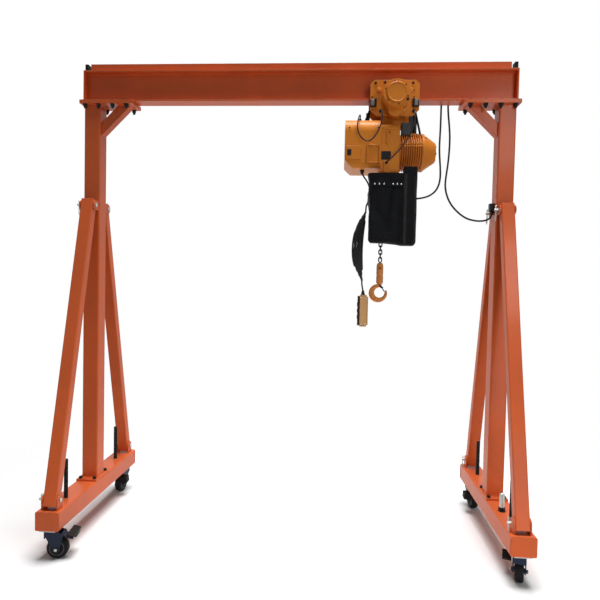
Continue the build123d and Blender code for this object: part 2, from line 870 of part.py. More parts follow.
# Load chain: welded links, each turned a quarter from the next
chain_x = hoist_housing_start + chain_offset
hook_block_top = hoist_housing_bottom - hook_drop
chain_top = hoist_housing_bottom - soft_gap
chain_bottom = hook_block_top + soft_gap
link_count = int((chain_top - chain_bottom - 2 * chain_wire) / chain_pitch)
link_step = (chain_top - chain_bottom - 2 * chain_wire - link_play) / link_count
link_straight = link_step + link_play - chain_inside
link_bend = (chain_inside + chain_wire) / 2
with BuildPart() as link:
    with BuildLine(Plane.XZ) as link_path:
        right_run = Line((link_bend, -link_straight / 2), (link_bend, link_straight / 2))
        top_bend = ThreePointArc(
            (link_bend, link_straight / 2), (0, link_straight / 2 + link_bend), (-link_bend, link_straight / 2)
        )
        left_run = Line((-link_bend, link_straight / 2), (-link_bend, -link_straight / 2))
        low_bend = ThreePointArc(
            (-link_bend, -link_straight / 2), (0, -link_straight / 2 - link_bend), (link_bend, -link_straight / 2)
        )
    with BuildSketch(Plane.XY.offset(-link_straight / 2)):
        with Locations((link_bend, 0)):
            Circle(chain_wire / 2)
    sweep(path=link_path.wires()[0])
with BuildPart() as load_chain:
    for index in range(link_count):
        link_height = chain_bottom + chain_wire + link_play / 2 + (index + 0.5) * link_step
        with Locations(Location((chain_x, 0, link_height), (0, 0, 90 * (index % 2)))):
            add(link.part)
load_chain.part.label = "load_chain"
export_step(load_chain.part, "parts/load_chain.step")

# Hook block with a bore for the hook's shank
hook_block_bottom = hook_block_top - hook_block_height
with BuildPart() as hook_block:
    with BuildSketch(Plane.XY.offset(hook_block_bottom)):
        with Locations((chain_x, 0)):
            Circle(hook_block_radius)
    extrude(amount=hook_block_height)
    chamfer(hook_block.edges().filter_by(GeomType.CIRCLE), hook_block_crown)
    with BuildSketch(Plane.XY.offset(hook_block_bottom)):
        with Locations((chain_x, 0)):
            Circle(hook_shank_radius + running_clearance)
    extrude(amount=hook_shank_rise + crown_gap, mode=Mode.SUBTRACT)
hook_block.part.label = "hook_block"
export_step(hook_block.part, "parts/hook_block.step")

# Forged hook: bowl, back, tip and shank
hook_bowl_height = hook_block_bottom - hook_bowl_drop
latch_pivot_x = chain_x + latch_pivot_reach * cos(radians(latch_pivot_turn))
latch_pivot_height = hook_bowl_height + latch_pivot_reach * sin(radians(latch_pivot_turn))
hook_outer_height = hook_block_bottom - hook_neck_gap - hook_outer_radius
with BuildPart() as hook:
    with BuildSketch(Plane.XZ):
        with Locations((chain_x - hook_outer_shift, hook_outer_height)):
            Circle(hook_outer_radius)
        with Locations((chain_x, hook_bowl_height)):
            Circle(hook_bowl_radius, mode=Mode.SUBTRACT)
        with BuildLine(mode=Mode.PRIVATE) as mouth:
            reach = 4 * hook_outer_radius
            low, high = radians(hook_mouth_low), radians(hook_mouth_high)
            Polyline(
                (chain_x, hook_bowl_height),
                (chain_x + reach * cos(low), hook_bowl_height + reach * sin(low)),
                (chain_x + reach * cos(high), hook_bowl_height + reach * sin(high)),
                close=True,
            )
        make_face(mouth.edges(), mode=Mode.SUBTRACT)
    extrude(amount=hook_thick / 2, both=True)
    with BuildSketch(Plane.XY.offset(hook_bowl_height + hook_bowl_radius + hook_edge)):
        with Locations((chain_x, 0)):
            Circle(hook_shank_radius)
    extrude(amount=hook_block_bottom + hook_shank_rise - hook_bowl_height - hook_bowl_radius - hook_edge)
    with BuildSketch(Plane.XZ):
        with Locations((latch_pivot_x, latch_pivot_height)):
            Circle(latch_pin_radius + running_clearance)
    extrude(amount=hook_thick, both=True, mode=Mode.SUBTRACT)
hook.part.label = "hook"
export_step(hook.part, "parts/hook.step")

# Safety latch: a strip with two ears on the pin through the hook's neck
latch_start_x = chain_x + latch_start_reach * cos(radians(latch_start_turn))
latch_start_height = hook_bowl_height + latch_start_reach * sin(radians(latch_start_turn))
latch_end_x = chain_x + latch_end_reach * cos(radians(latch_end_turn))
latch_end_height = hook_bowl_height + latch_end_reach * sin(radians(latch_end_turn))
latch_half = hook_thick / 2 + latch_side_gap + latch_ear_thick


def latch_arm(x_from, z_from, x_to, z_to, height):
    """A rounded strip between two points of the hook's own plane."""
    with Locations(Location(((x_from + x_to) / 2, (z_from + z_to) / 2))):
        SlotCenterToCenter(
            hypot(x_to - x_from, z_to - z_from),
            height,
            rotation=degrees(atan2(z_to - z_from, x_to - x_from)),
        )


with BuildPart() as hook_latch:
    with BuildSketch(Plane.XZ):
        latch_arm(latch_pivot_x, latch_pivot_height, latch_start_x, latch_start_height, latch_ear_height)
    extrude(amount=latch_half, both=True)
    with BuildSketch(Plane.XZ):
        Rectangle(4 * beam_length, 4 * beam_top)
    extrude(amount=latch_half - latch_ear_thick, both=True, mode=Mode.SUBTRACT)
    with BuildSketch(Plane.XZ):
        latch_arm(latch_start_x, latch_start_height, latch_end_x, latch_end_height, latch_thick)
    extrude(amount=latch_half, both=True)
    with BuildSketch(Plane.XZ):
        with Locations((latch_pivot_x, latch_pivot_height)):
            Circle(latch_pin_radius)
    extrude(amount=latch_half, both=True)
hook_latch.part.label = "hook_latch"
export_step(hook_latch.part, "parts/hook_latch.step")

# Pendant control at the end of its cable
pendant_x, pendant_y, pendant_top = pendant_tail_points[-1]
with BuildPart() as pendant:
    with BuildSketch(Plane.XY.offset(pendant_top)):
        with Locations((pendant_x, pendant_y)):
            RectangleRounded(pendant_width, pendant_depth, pendant_corner)
    extrude(amount=-pendant_height)
pendant.part.label = "pendant"
export_step(pendant.part, "parts/pendant.step")

# Hank of pendant cable below its feed from the control box: a crescent that bulges to the left
hank_top_x, hank_y, hank_feed_end = pendant_feed_points[-1]
hank_bottom_x, _, hank_tail_start = pendant_tail_points[0]
hank_top = hank_feed_end - soft_gap
hank_bottom = hank_tail_start + soft_gap
hank_middle = (hank_top + hank_bottom) / 2
hank_left = (hank_top_x + hank_bottom_x) / 2 - hank_bulge
with BuildPart() as pendant_hank:
    with BuildSketch(Plane.XZ.offset(-hank_y)):
        with BuildLine():
            ThreePointArc(
                (hank_bottom_x - hank_end_width / 2, hank_bottom),
                (hank_left, hank_middle),
                (hank_top_x - hank_end_width / 2, hank_top),
            )
            Line(
                (hank_top_x - hank_end_width / 2, hank_top),
                (hank_top_x + hank_end_width / 2, hank_top),
            )
            ThreePointArc(
                (hank_top_x + hank_end_width / 2, hank_top),
                (hank_left + hank_middle_width, hank_middle),
                (hank_bottom_x + hank_end_width / 2, hank_bottom),
            )
            Line(
                (hank_bottom_x + hank_end_width / 2, hank_bottom),
                (hank_bottom_x - hank_end_width / 2, hank_bottom),
            )
        make_face()
    extrude(amount=hank_depth / 2, both=True)
pendant_hank.part.label = "pendant_hank"
export_step(pendant_hank.part, "parts/pendant_hank.step")


def cord_radii(points, tight):
    """The largest arc for each corner of a cord's route, with the held corners given by hand."""
    route = [Vector(*point) for point in points]
    radii = []
    for index in range(1, len(route) - 1):
        before = route[index] - route[index - 1]
        after = route[index + 1] - route[index]
        turn = radians(before.get_angle(after))
        radii.append(tight.get(index, cord_arc_share * min(before.length, after.length) / tan(turn / 2)))
    return radii


cords = {
    "pendant_cable": (pendant_cable_radius, [pendant_feed_points, pendant_tail_points], {}),
    "trolley_leads": (lead_radius, [trolley_lead_points, limit_lead_points], {}),
    "supply_cable": (cable_radius, [supply_cable_points], supply_cable_tight),
}
for name, (radius, routes, tight) in cords.items():
    with BuildPart() as cord:
        for points in routes:
            with BuildLine() as route:
                FilletPolyline(*points, radius=cord_radii(points, tight))
            with BuildSketch(Plane(origin=points[0], z_dir=Vector(*points[1]) - Vector(*points[0]))):
                Circle(radius)
            sweep(path=route.wires()[0])
            print(name, "length", round(route.wires()[0].length))
    cord.part.label = name
    export_step(cord.part, f"parts/{name}.step")

# Socket on the right post that the supply cable goes into
socket_bottom = supply_cable_points[-1][2]
with BuildPart() as supply_socket:
    with Locations((post_inner, 0, socket_bottom)):
        Box(
            socket_depth,
            socket_width,
            socket_height,
            align=(Align.MAX, Align.CENTER, Align.MIN),
        )
supply_socket.part.label = "supply_socket"
export_step(supply_socket.part, "parts/supply_socket.step")
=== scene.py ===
import json
from math import cos, pi, radians, sin, sqrt

import bmesh
import bpy
from mathutils import Matrix, Vector, noise


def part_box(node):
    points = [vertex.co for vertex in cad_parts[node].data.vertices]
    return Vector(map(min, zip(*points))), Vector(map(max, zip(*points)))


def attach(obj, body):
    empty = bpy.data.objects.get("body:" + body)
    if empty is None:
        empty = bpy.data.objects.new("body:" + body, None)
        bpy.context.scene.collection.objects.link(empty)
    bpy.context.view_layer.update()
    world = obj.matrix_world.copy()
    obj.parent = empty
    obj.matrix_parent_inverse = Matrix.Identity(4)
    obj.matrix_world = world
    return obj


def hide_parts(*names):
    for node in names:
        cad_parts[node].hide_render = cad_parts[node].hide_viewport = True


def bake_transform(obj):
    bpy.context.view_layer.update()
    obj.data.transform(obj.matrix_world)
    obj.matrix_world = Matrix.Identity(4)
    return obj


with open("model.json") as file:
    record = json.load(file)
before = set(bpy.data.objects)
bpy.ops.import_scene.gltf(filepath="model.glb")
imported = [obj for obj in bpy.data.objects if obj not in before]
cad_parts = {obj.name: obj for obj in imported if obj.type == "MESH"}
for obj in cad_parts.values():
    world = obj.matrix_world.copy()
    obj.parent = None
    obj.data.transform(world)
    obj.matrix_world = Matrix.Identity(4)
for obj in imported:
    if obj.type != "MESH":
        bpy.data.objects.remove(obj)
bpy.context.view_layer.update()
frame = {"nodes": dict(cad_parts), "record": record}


# Main beam: a rolled steel I-section, shot-blasted and sprayed with glossy orange-red paint.
# A rectangular tube is stitch-welded along its top flange, and a rubber block sits beyond each tube end.
def srgb(red, green, blue):
    """An 8-bit screen colour as the linear colour that shaders take."""
    parts = [channel / 255 for channel in (red, green, blue)]
    return tuple(p / 12.92 if p <= 0.04045 else ((p + 0.055) / 1.055) ** 2.4 for p in parts) + (1.0,)


def feed(tree, node, inputs):
    """Gives a shader node's inputs their values, or the sockets that feed them."""
    for key, value in inputs.items():
        if isinstance(value, bpy.types.NodeSocket):
            tree.links.new(value, node.inputs[key])
        else:
            node.inputs[key].default_value = value


def add_node(tree, kind, inputs=None, **settings):
    """A shader node with its settings and its inputs."""
    made = tree.nodes.new("ShaderNode" + kind)
    for key, value in settings.items():
        setattr(made, key, value)
    feed(tree, made, inputs or {})
    return made


def new_group(name, inputs, outputs):
    """An empty shader node group with named sockets."""
    tree = bpy.data.node_groups.new(name, "ShaderNodeTree")
    for socket, kind in inputs:
        tree.interface.new_socket(socket, in_out="INPUT", socket_type=kind)
    for socket, kind in outputs:
        tree.interface.new_socket(socket, in_out="OUTPUT", socket_type=kind)
    return tree, tree.nodes.new("NodeGroupInput"), tree.nodes.new("NodeGroupOutput")


def sprayed_paint_group():
    """Paint with cloudy tone, an orange-peel skin, rubbed edges and dust on what faces up."""
    tree, given, result = new_group(
        "sprayed paint",
        [("Paint", "NodeSocketColor"), ("Rubbed", "NodeSocketColor"), ("Dust Tone", "NodeSocketColor"),
         ("Wear", "NodeSocketFloat"), ("Dust", "NodeSocketFloat"), ("Gloss", "NodeSocketFloat")],
        [("Color", "NodeSocketColor"), ("Roughness", "NodeSocketFloat"),
         ("Height", "NodeSocketFloat"), ("Edge", "NodeSocketVector")],
    )

    def ranged(value, start, end, low=0.0, high=1.0):
        """A value's place between a start and an end, as a value from low to high."""
        limits = {"Value": value, "From Min": start, "From Max": end, "To Min": low, "To Max": high}
        return add_node(tree, "MapRange", limits).outputs["Result"]

    def math_node(operation, first, second, **settings):
        """The outcome of a sum or a product of two values."""
        return add_node(tree, "Math", {0: first, 1: second}, operation=operation, **settings).outputs[0]

    def blended(share, under, over):
        """One colour over another by a share."""
        mix = add_node(tree, "Mix", {"Factor": share, "A": under, "B": over}, data_type="RGBA")
        return mix.outputs["Result"]

    place = add_node(tree, "TexCoord").outputs["Object"]
    clouds, specks, peel = [
        add_node(tree, "TexNoise", {"Vector": place, **grain}).outputs["Fac"] for grain in (
            {"Scale": 2.2, "Detail": 5.0, "Roughness": 0.62},
            {"Scale": 90.0, "Detail": 4.0, "Roughness": 0.7},
            {"Scale": 520.0, "Detail": 2.0},
        )
    ]
    edge = add_node(tree, "Bevel", {"Radius": 0.0045}, samples=4).outputs["Normal"]
    normal = add_node(tree, "NewGeometry").outputs["Normal"]
    facing = add_node(tree, "VectorMath", {0: edge, 1: normal}, operation="DOT_PRODUCT").outputs["Value"]
    worn = math_node("MULTIPLY", ranged(facing, 0.985, 0.85), ranged(specks, 0.42, 0.62))
    worn_share = math_node("MULTIPLY", worn, given.outputs["Wear"])
    tone = ranged(clouds, 0.3, 0.7, 0.86, 1.08)
    toned = add_node(tree, "VectorMath", {0: given.outputs["Paint"], "Scale": tone}, operation="SCALE")
    rubbed = blended(worn_share, toned.outputs["Vector"], given.outputs["Rubbed"])
    settled = ranged(add_node(tree, "SeparateXYZ", {0: normal}).outputs["Z"], 0.55, 1.0)
    dust_share = math_node("MULTIPLY", math_node("MULTIPLY", settled, specks), given.outputs["Dust"])
    sheen = math_node("ADD", given.outputs["Gloss"], ranged(clouds, 0.3, 0.7, -0.05, 0.07))
    feed(tree, result, {
        "Color": blended(dust_share, rubbed, given.outputs["Dust Tone"]),
        "Roughness": math_node("ADD", sheen, dust_share, use_clamp=True), "Height": peel, "Edge": edge,
    })
    return tree


sprayed_paint = sprayed_paint_group()
floor_dust = srgb(196, 178, 160)


def painted(name, colour, rubbed, gloss, wear, dust, coat=0.0, metallic=0.0, peel=0.00012, shine=0.5):
    """A coated or plated metal finish made from the sprayed paint group."""
    material = bpy.data.materials.new(name)
    material.use_nodes = True
    tree = material.node_tree
    coating = add_node(tree, "Group", {
        "Paint": colour, "Rubbed": rubbed, "Dust Tone": floor_dust,
        "Wear": wear, "Dust": dust, "Gloss": gloss,
    }, node_tree=sprayed_paint).outputs
    bump = add_node(tree, "Bump", {
        "Strength": 0.35, "Distance": peel, "Height": coating["Height"], "Normal": coating["Edge"],
    })
    feed(tree, tree.nodes["Principled BSDF"], {
        "Base Color": coating["Color"], "Roughness": coating["Roughness"], "Normal": bump.outputs["Normal"],
        "Coat Weight": coat, "Coat Roughness": 0.12, "Metallic": metallic, "Specular IOR Level": shine,
    })
    return material


def dress(material, *nodes):
    """Gives CAD nodes a finish."""
    for node in nodes:
        for place in frame["nodes"][node].material_slots:
            place.material = material


frame_paint = painted(
    "frame_paint", srgb(208, 94, 46), srgb(222, 134, 92),
    gloss=0.34, wear=0.4, dust=0.05, coat=0.1, shine=0.12,
)
moulded_rubber = painted(
    "moulded_rubber", srgb(22, 21, 21), srgb(50, 48, 46),
    gloss=0.62, wear=0.3, dust=0.05, peel=0.0004, shine=0.12,
)
dress(frame_paint, "main_beam", "beam_end_plates", "top_tube", "beam_pads", "post_end_plates", "left_post",
      "right_post", "knee_braces", "left_base_beam", "right_base_beam", "base_end_plates", "left_braces",
      "right_braces", "brace_lugs")
dress(moulded_rubber, "beam_end_blocks")


def mesh_object(name, bm, material):
    """A smooth-shaded mesh in the crane's own frame."""
    bmesh.ops.recalc_face_normals(bm, faces=bm.faces)
    mesh = bpy.data.meshes.new(name)
    bm.to_mesh(mesh)
    bm.free()
    mesh.materials.append(material)
    mesh.shade_smooth()
    piece = bpy.data.objects.new(name, mesh)
    bpy.context.scene.collection.objects.link(piece)
    return piece


def add_piece(name, bm, material, body, smooth=40):
    """A mesh with sharp edges that rides on one of the crane's bodies."""
    piece = mesh_object(name, bm, material)
    piece.data.set_sharp_from_angle(angle=radians(smooth))
    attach(piece, body)
    return piece


def ring(bm, centre, across, other, radius, sides):
    """A circle of points round a centre."""
    turns = [2 * pi * k / sides for k in range(sides)]
    return [bm.verts.new(centre + radius * (across * cos(turn) + other * sin(turn))) for turn in turns]


def skin(bm, rings, capped=True):
    """Faces from each ring of points to the next, with a face over each end."""
    count = len(rings[0])
    for lower, upper in zip(rings, rings[1:]):
        for k in range(count):
            bm.faces.new((lower[k], lower[(k + 1) % count], upper[(k + 1) % count], upper[k]))
    if capped:
        bm.faces.new(rings[0][::-1])
        bm.faces.new(rings[-1])


def weld_run(bm, start, end, radius):
    """A rippled weld bead along a straight joint."""
    start, end = Vector(start), Vector(end)
    along = (end - start).normalized()
    across = along.orthogonal().normalized()
    other = along.cross(across)
    pitch = radius * 0.9
    count = max(4, int((end - start).length / pitch))
    sides, hollow, tip = 8, 0.82, 0.5
    rings = []
    for step in range(count + 1):
        swell = radius * (1.0 if step % 2 else hollow) * (tip if step in (0, count) else 1.0)
        rings.append(ring(bm, start.lerp(end, step / count), across, other, swell, sides))
    skin(bm, rings)


beam_low, beam_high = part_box("main_beam")
tube_low, tube_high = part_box("top_tube")
stitch_length = 0.06
stitch_spacing = 0.2
bead_radius = 0.004
welds = bmesh.new()
stitch = tube_low[0] + stitch_length
while stitch < tube_high[0] - stitch_length:
    for y in (tube_low[1], tube_high[1]):
        weld_run(welds, (stitch, y, beam_high[2]), (stitch + stitch_length, y, beam_high[2]), bead_radius)
    stitch += stitch_spacing
add_piece("beam_stitch_welds", welds, frame_paint, "frame")


# Leg joints: a pad welded under each beam end is bolted to the plate on the leg with two rows of bolts.
# The black bolts have low round heads on top of the pad, and washers, nuts and threaded ends below the plate.
def turned(bm, profile, origin, axis, steps=24):
    """A solid of revolution from (radius, height) points along an axis."""
    axis = Vector(axis).normalized()
    across = axis.orthogonal().normalized()
    other = axis.cross(across)
    skin(bm, [
        ring(bm, Vector(origin) + axis * height, across, other, radius, steps) for radius, height in profile
    ])


def hex_bolt(bm, seat, axis, across_flats, washer=True):
    """A washer and a chamfered hex head standing on a seat."""
    corner = across_flats / sqrt(3)
    head = 0.62 * across_flats
    washer_radius = 0.64 * across_flats
    lift = 0.12 * across_flats if washer else 0.0
    if washer:
        turned(bm, [(washer_radius, 0), (washer_radius, lift)], seat, axis)
    base = Vector(seat) + Vector(axis).normalized() * lift
    chamfer_start, chamfer_radius = 0.85 * head, 0.86 * corner
    turned(bm, [(corner, 0), (corner, chamfer_start), (chamfer_radius, head)], base, axis, steps=6)


black_bolt = painted(
    "black_bolt", srgb(24, 23, 24), srgb(76, 74, 72),
    gloss=0.46, wear=0.4, dust=0.03, metallic=0.3, shine=0.15,
)
pad_low, pad_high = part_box("beam_pads")
joint_bolt_xs = (1.380, 1.289, 1.196, 1.102)
joint_bolt_y = 0.065
joint_bolt_size = 0.024
joint_plate = pad_high[2] - pad_low[2]
bolt_end = [(0.008, 0.0), (0.008, 0.027), (0.0065, 0.029)]
bolt_head = [(0.012, 0.0), (0.012, 0.003), (0.008, 0.0055)]
joint_bolts = bmesh.new()
for hand in (-1, 1):
    for x in joint_bolt_xs:
        for y in (-joint_bolt_y, joint_bolt_y):
            nut_seat = (hand * x, y, pad_low[2] - joint_plate)
            hex_bolt(joint_bolts, nut_seat, (0, 0, -1), joint_bolt_size)
            turned(joint_bolts, bolt_end, nut_seat, (0, 0, -1), steps=12)
            turned(joint_bolts, bolt_head, (hand * x, y, pad_high[2]), (0, 0, 1), steps=16)
add_piece("leg_joint_bolts", joint_bolts, black_bolt, "frame")


# Legs: square tube posts welded to their end plates, knee braces welded into the corners under the beam,
# and base beams with a plate welded over each end. All are in the same orange-red paint.
post_low, post_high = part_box("left_post")
post_half = (post_high[0] - post_low[0]) / 2
leg_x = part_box("right_post")[0][0] + post_half
base_low, base_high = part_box("left_base_beam")
base_half = (base_high[0] - base_low[0]) / 2
knee_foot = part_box("knee_braces")[0][2]
knee_reach = 0.196
knee_half = 0.03
knee_weld = 0.085
post_weld_inset = 0.006
end_plate_joint = 0.569
end_weld_inset = 0.012
end_bead_radius = 0.003
leg_welds = bmesh.new()
for x in (-leg_x, leg_x):
    for z in (post_low[2], post_high[2]):
        for hand in (-1, 1):
            side = hand * post_half
            run = post_half - post_weld_inset
            weld_run(leg_welds, (x - run, side, z), (x + run, side, z), bead_radius)
            weld_run(leg_welds, (x + side, -run, z), (x + side, run, z), bead_radius)
    inward = -1 if x > 0 else 1
    corner = x + inward * post_half
    top = corner + inward * knee_reach
    for y in (-knee_half, knee_half):
        weld_run(leg_welds, (corner, y, knee_foot), (corner, y, knee_foot + knee_weld), bead_radius)
        weld_run(leg_welds, (top, y, post_high[2]), (top - inward * knee_weld, y, post_high[2]), bead_radius)
    left, right = x - base_half + end_weld_inset, x + base_half - end_weld_inset
    foot, head = base_low[2] + end_weld_inset, base_high[2] - end_weld_inset
    for face in (-end_plate_joint, end_plate_joint):
        for z in (base_low[2], base_high[2]):
            weld_run(leg_welds, (left, face, z), (right, face, z), end_bead_radius)
        for hand in (-1, 1):
            edge = x + hand * base_half
            weld_run(leg_welds, (edge, face, foot), (edge, face, head), end_bead_radius)
add_piece("leg_welds", leg_welds, frame_paint, "frame")

foot_bolt_x = 0.048
foot_bolt_y = 0.080
foot_bolt_size = 0.020
foot_bolts = bmesh.new()
for x in (-leg_x, leg_x):
    for hand in (-1, 1):
        for end in (-1, 1):
            seat = (x + hand * foot_bolt_x, end * foot_bolt_y, post_low[2])
            hex_bolt(foot_bolts, seat, (0, 0, 1), foot_bolt_size)
add_piece("foot_plate_bolts", foot_bolts, black_bolt, "frame")


# Brace pins: zinc-plated clevis pins through the lugs, each held by a bent wire spring clip.
# The wire goes through the pin's tail and hugs the outside of the pin.
# A plain plated stud with a black nut stands on the right base beam, in front of the post.
zinc_plate = painted(
    "zinc_plate", srgb(176, 176, 170), srgb(205, 205, 200),
    gloss=0.34, wear=0.6, dust=0.08, metallic=0.9,
)
dress(zinc_plate, "brace_pins", "caster_plates", "trolley_tie_bars", "trolley_wheels")
clip_inset = 0.010
clip_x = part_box("brace_pins")[0][0] + leg_x + clip_inset
clip_wire = 0.0024
pin_places = [(0.094, 2.122), (0.518, 0.345)]


def wire_curve(name, routes, radius, material, body):
    """Round wire bent along smooth routes, one spline for each."""
    curve = bpy.data.curves.new(name, "CURVE")
    curve.dimensions = "3D"
    curve.bevel_depth = 1.0
    curve.bevel_resolution = 3
    curve.resolution_u = 6
    curve.use_fill_caps = True
    for route in routes:
        spline = curve.splines.new("NURBS")
        spline.points.add(len(route) - 1)
        for point, place in zip(spline.points, route):
            point.co = (*place, 1.0)
            point.radius = radius
        spline.order_u = 3
        spline.use_endpoint_u = True
    curve.materials.append(material)
    piece = bpy.data.objects.new(name, curve)
    bpy.context.scene.collection.objects.link(piece)
    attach(piece, body)
    return piece


clip_shape = [
    (0.0, 0.030), (0.0, -0.040), (0.002, -0.062), (0.016, -0.070), (0.022, -0.056), (0.016, -0.036),
    (0.009, -0.018), (0.0125, 0.0), (0.010, 0.014), (0.019, 0.026),
]
clip_routes = []
for x in (-leg_x, leg_x):
    for end in (-1, 1):
        for reach, height in pin_places:
            clip_routes.append([(x + clip_x, end * reach + dy, height + dz) for dy, dz in clip_shape])
wire_curve("brace_pin_clips", clip_routes, clip_wire, zinc_plate, "frame")

stud_inset, stud_y = 0.018, -0.246
stud_nut_size = 0.034
stud_place = (leg_x - stud_inset, stud_y, base_high[2])
stud = bmesh.new()
turned(stud, [(0.015, 0.0), (0.015, 0.100), (0.013, 0.106), (0.008, 0.110)], stud_place, (0, 0, 1))
add_piece("right_base_stud", stud, zinc_plate, "frame")
stud_nut = bmesh.new()
hex_bolt(stud_nut, stud_place, (0, 0, 1), stud_nut_size)
add_piece("right_base_stud_nut", stud_nut, black_bolt, "frame")


# Casters: a pressed plate with a ball race, a dark blue fork, a grey wheel core with a black tread
# and a pedal with a black ribbed pad that presses a brake on the wheel.
caster_blue = painted(
    "caster_blue", srgb(27, 36, 58), srgb(84, 90, 100),
    gloss=0.4, wear=0.35, dust=0.05, coat=0.1, shine=0.12,
)
core_grey = painted(
    "core_grey", srgb(70, 71, 74), srgb(120, 120, 120),
    gloss=0.5, wear=0.3, dust=0.05, shine=0.15,
)
caster_names = ("left_front", "left_rear", "right_front", "right_rear")
joints = {joint["name"]: joint for joint in frame["record"]["behaviour"]["joints"]}
wheel_radius = 0.0625
tread_half = 0.024
core_radius = 0.043
half_tread = [
    (core_radius, tread_half - 0.002), (wheel_radius - 0.009, tread_half),
    (wheel_radius - 0.003, tread_half - 0.005), (wheel_radius - 0.0002, tread_half - 0.013),
]
half_core = [
    (0.0075, 0.0295), (0.0155, 0.0295), (0.0165, 0.018), (0.034, 0.015), (0.037, 0.0235), (0.0432, 0.0235),
]
axle_end = 0.0433
axle_cap = [(0.0085, 0.0), (0.0085, 0.003), (0.006, 0.005)]
bridge_size = (0.005, 0.072, 0.026)
bridge_setback = 0.031
bridge_level = 0.140
pedal_slopes = {"left_front": 15, "left_rear": 15, "right_front": 40, "right_rear": 15}
pedal_sides = {"left_front": 1, "left_rear": 1, "right_front": 1, "right_rear": -1}
pedal_half = 0.003
pad_size = (0.044, 0.131, 0.012)
pad_reach = 0.050
pad_shift = 0.0285
rib_size = (0.004, 0.123, 0.004)
rib_pitch = 0.009
foot_size = (0.042, 0.050, 0.034)
foot_shift = 0.068
foot_drop = 0.014
pad_rounding = 0.0012
upward = Vector((0, 0, 1))


def mirrored(half, middle=()):
    """A wheel's whole profile from the half on one side of its middle."""
    return [(radius, -across) for radius, across in half] + [*middle] + half[::-1]


def slab(bm, middle, ways, size):
    """A box round a middle point, with its sides along three directions."""
    made = bmesh.ops.create_cube(bm, size=1.0)
    basis = Matrix([way * length for way, length in zip(ways, size)]).transposed().to_4x4()
    bmesh.ops.transform(bm, matrix=Matrix.Translation(middle) @ basis, verts=made["verts"])


for name in caster_names:
    dress(caster_blue, f"{name}_caster_fork", f"{name}_brake_pedal")
    spin = joints[f"{name}_wheel_spin"]
    centre, axle = Vector(spin["pos_m"]), Vector(spin["axis"])
    tread = bmesh.new()
    turned(tread, mirrored(half_tread, [(wheel_radius, 0.0)]), centre, axle, steps=48)
    add_piece(f"{name}_tread", tread, moulded_rubber, f"{name}_wheel")
    core = bmesh.new()
    turned(core, mirrored(half_core), centre, axle, steps=40)
    core_piece = add_piece(f"{name}_wheel_core", core, core_grey, f"{name}_wheel")
    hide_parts(f"{name}_caster_wheel")
    axle_caps = bmesh.new()
    for way in (-1, 1):
        turned(axle_caps, axle_cap, centre + way * axle_end * axle, way * axle, steps=16)
    add_piece(f"{name}_axle_caps", axle_caps, zinc_plate, f"{name}_swivel")
    kingpin = Vector(joints[f"{name}_caster_swivel"]["pos_m"])
    trail = (centre - kingpin).to_2d().to_3d().normalized()
    bridge = bmesh.new()
    bridge_middle = Vector((kingpin.x, kingpin.y, bridge_level)) - trail * bridge_setback
    slab(bridge, bridge_middle, (trail, axle, upward), bridge_size)
    add_piece(f"{name}_fork_bridge", bridge, caster_blue, f"{name}_swivel")
    press = joints[f"{name}_brake_pedal"]
    pivot, hinge = Vector(press["pos_m"]), Vector(press["axis"])
    slope = radians(pedal_slopes[name])
    run = hinge.cross(upward) * cos(slope) - upward * sin(slope)
    face = hinge.cross(run)
    face = face if face.z > 0 else -face
    ways = (run, hinge, face)
    reach_out = hinge * pedal_sides[name]
    tread_middle = pivot + run * pad_reach
    pad_middle = tread_middle + reach_out * pad_shift + face * (pedal_half + pad_size[2] / 2)
    pad = bmesh.new()
    slab(pad, pad_middle, ways, pad_size)
    for rib in range(-2, 3):
        slab(pad, pad_middle + run * rib * rib_pitch + face * (pad_size[2] / 2), ways, rib_size)
    slab(pad, tread_middle + reach_out * foot_shift - face * foot_drop, ways, foot_size)
    bmesh.ops.bevel(pad, geom=pad.edges[:], offset=pad_rounding, segments=2, affect="EDGES")
    add_piece(f"{name}_pedal_pad", pad, moulded_rubber, f"{name}_pedal")


# Levelling screws: black oxide threaded rods through the base beams, cut with a metric thread.
# Each one is wound down to the floor to take the weight off the casters.
thread_pitch = 0.003
thread_depth = 0.0018
rod_sides = 20
rod_end_chamfer = 0.002
for name in caster_names:
    low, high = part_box(f"{name}_jack_screw")
    middle_x, middle_y = (low[0] + high[0]) / 2, (low[1] + high[1]) / 2
    rod_radius = (high[0] - low[0]) / 2
    rod_length = high[2] - low[2]
    count = int(rod_length / thread_pitch) * 2
    rod = bmesh.new()
    columns = []
    for k in range(rod_sides):
        turn = 2 * pi * k / rod_sides
        column = []
        for step in range(count + 1):
            z = low[2] + rod_length * step / count + thread_pitch * (k / rod_sides - 0.5)
            z = min(max(z, low[2]), high[2])
            groove = thread_depth if step % 2 else 0.0
            radius = rod_radius - groove - (rod_end_chamfer if step in (0, count) else 0.0)
            column.append(rod.verts.new((middle_x + radius * cos(turn), middle_y + radius * sin(turn), z)))
        columns.append(column)
    for k in range(rod_sides):
        here, there = columns[k], columns[(k + 1) % rod_sides]
        shift = 0 if k < rod_sides - 1 else 2
        for step in range(shift, count):
            rod.faces.new((here[step], there[step - shift], there[step + 1 - shift], here[step + 1]))
    bmesh.ops.holes_fill(rod, edges=rod.edges[:], sides=0)
    piece = add_piece(f"{name}_threaded_rod", rod, black_bolt, f"{name}_jack")
    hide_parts(f"{name}_jack_screw")


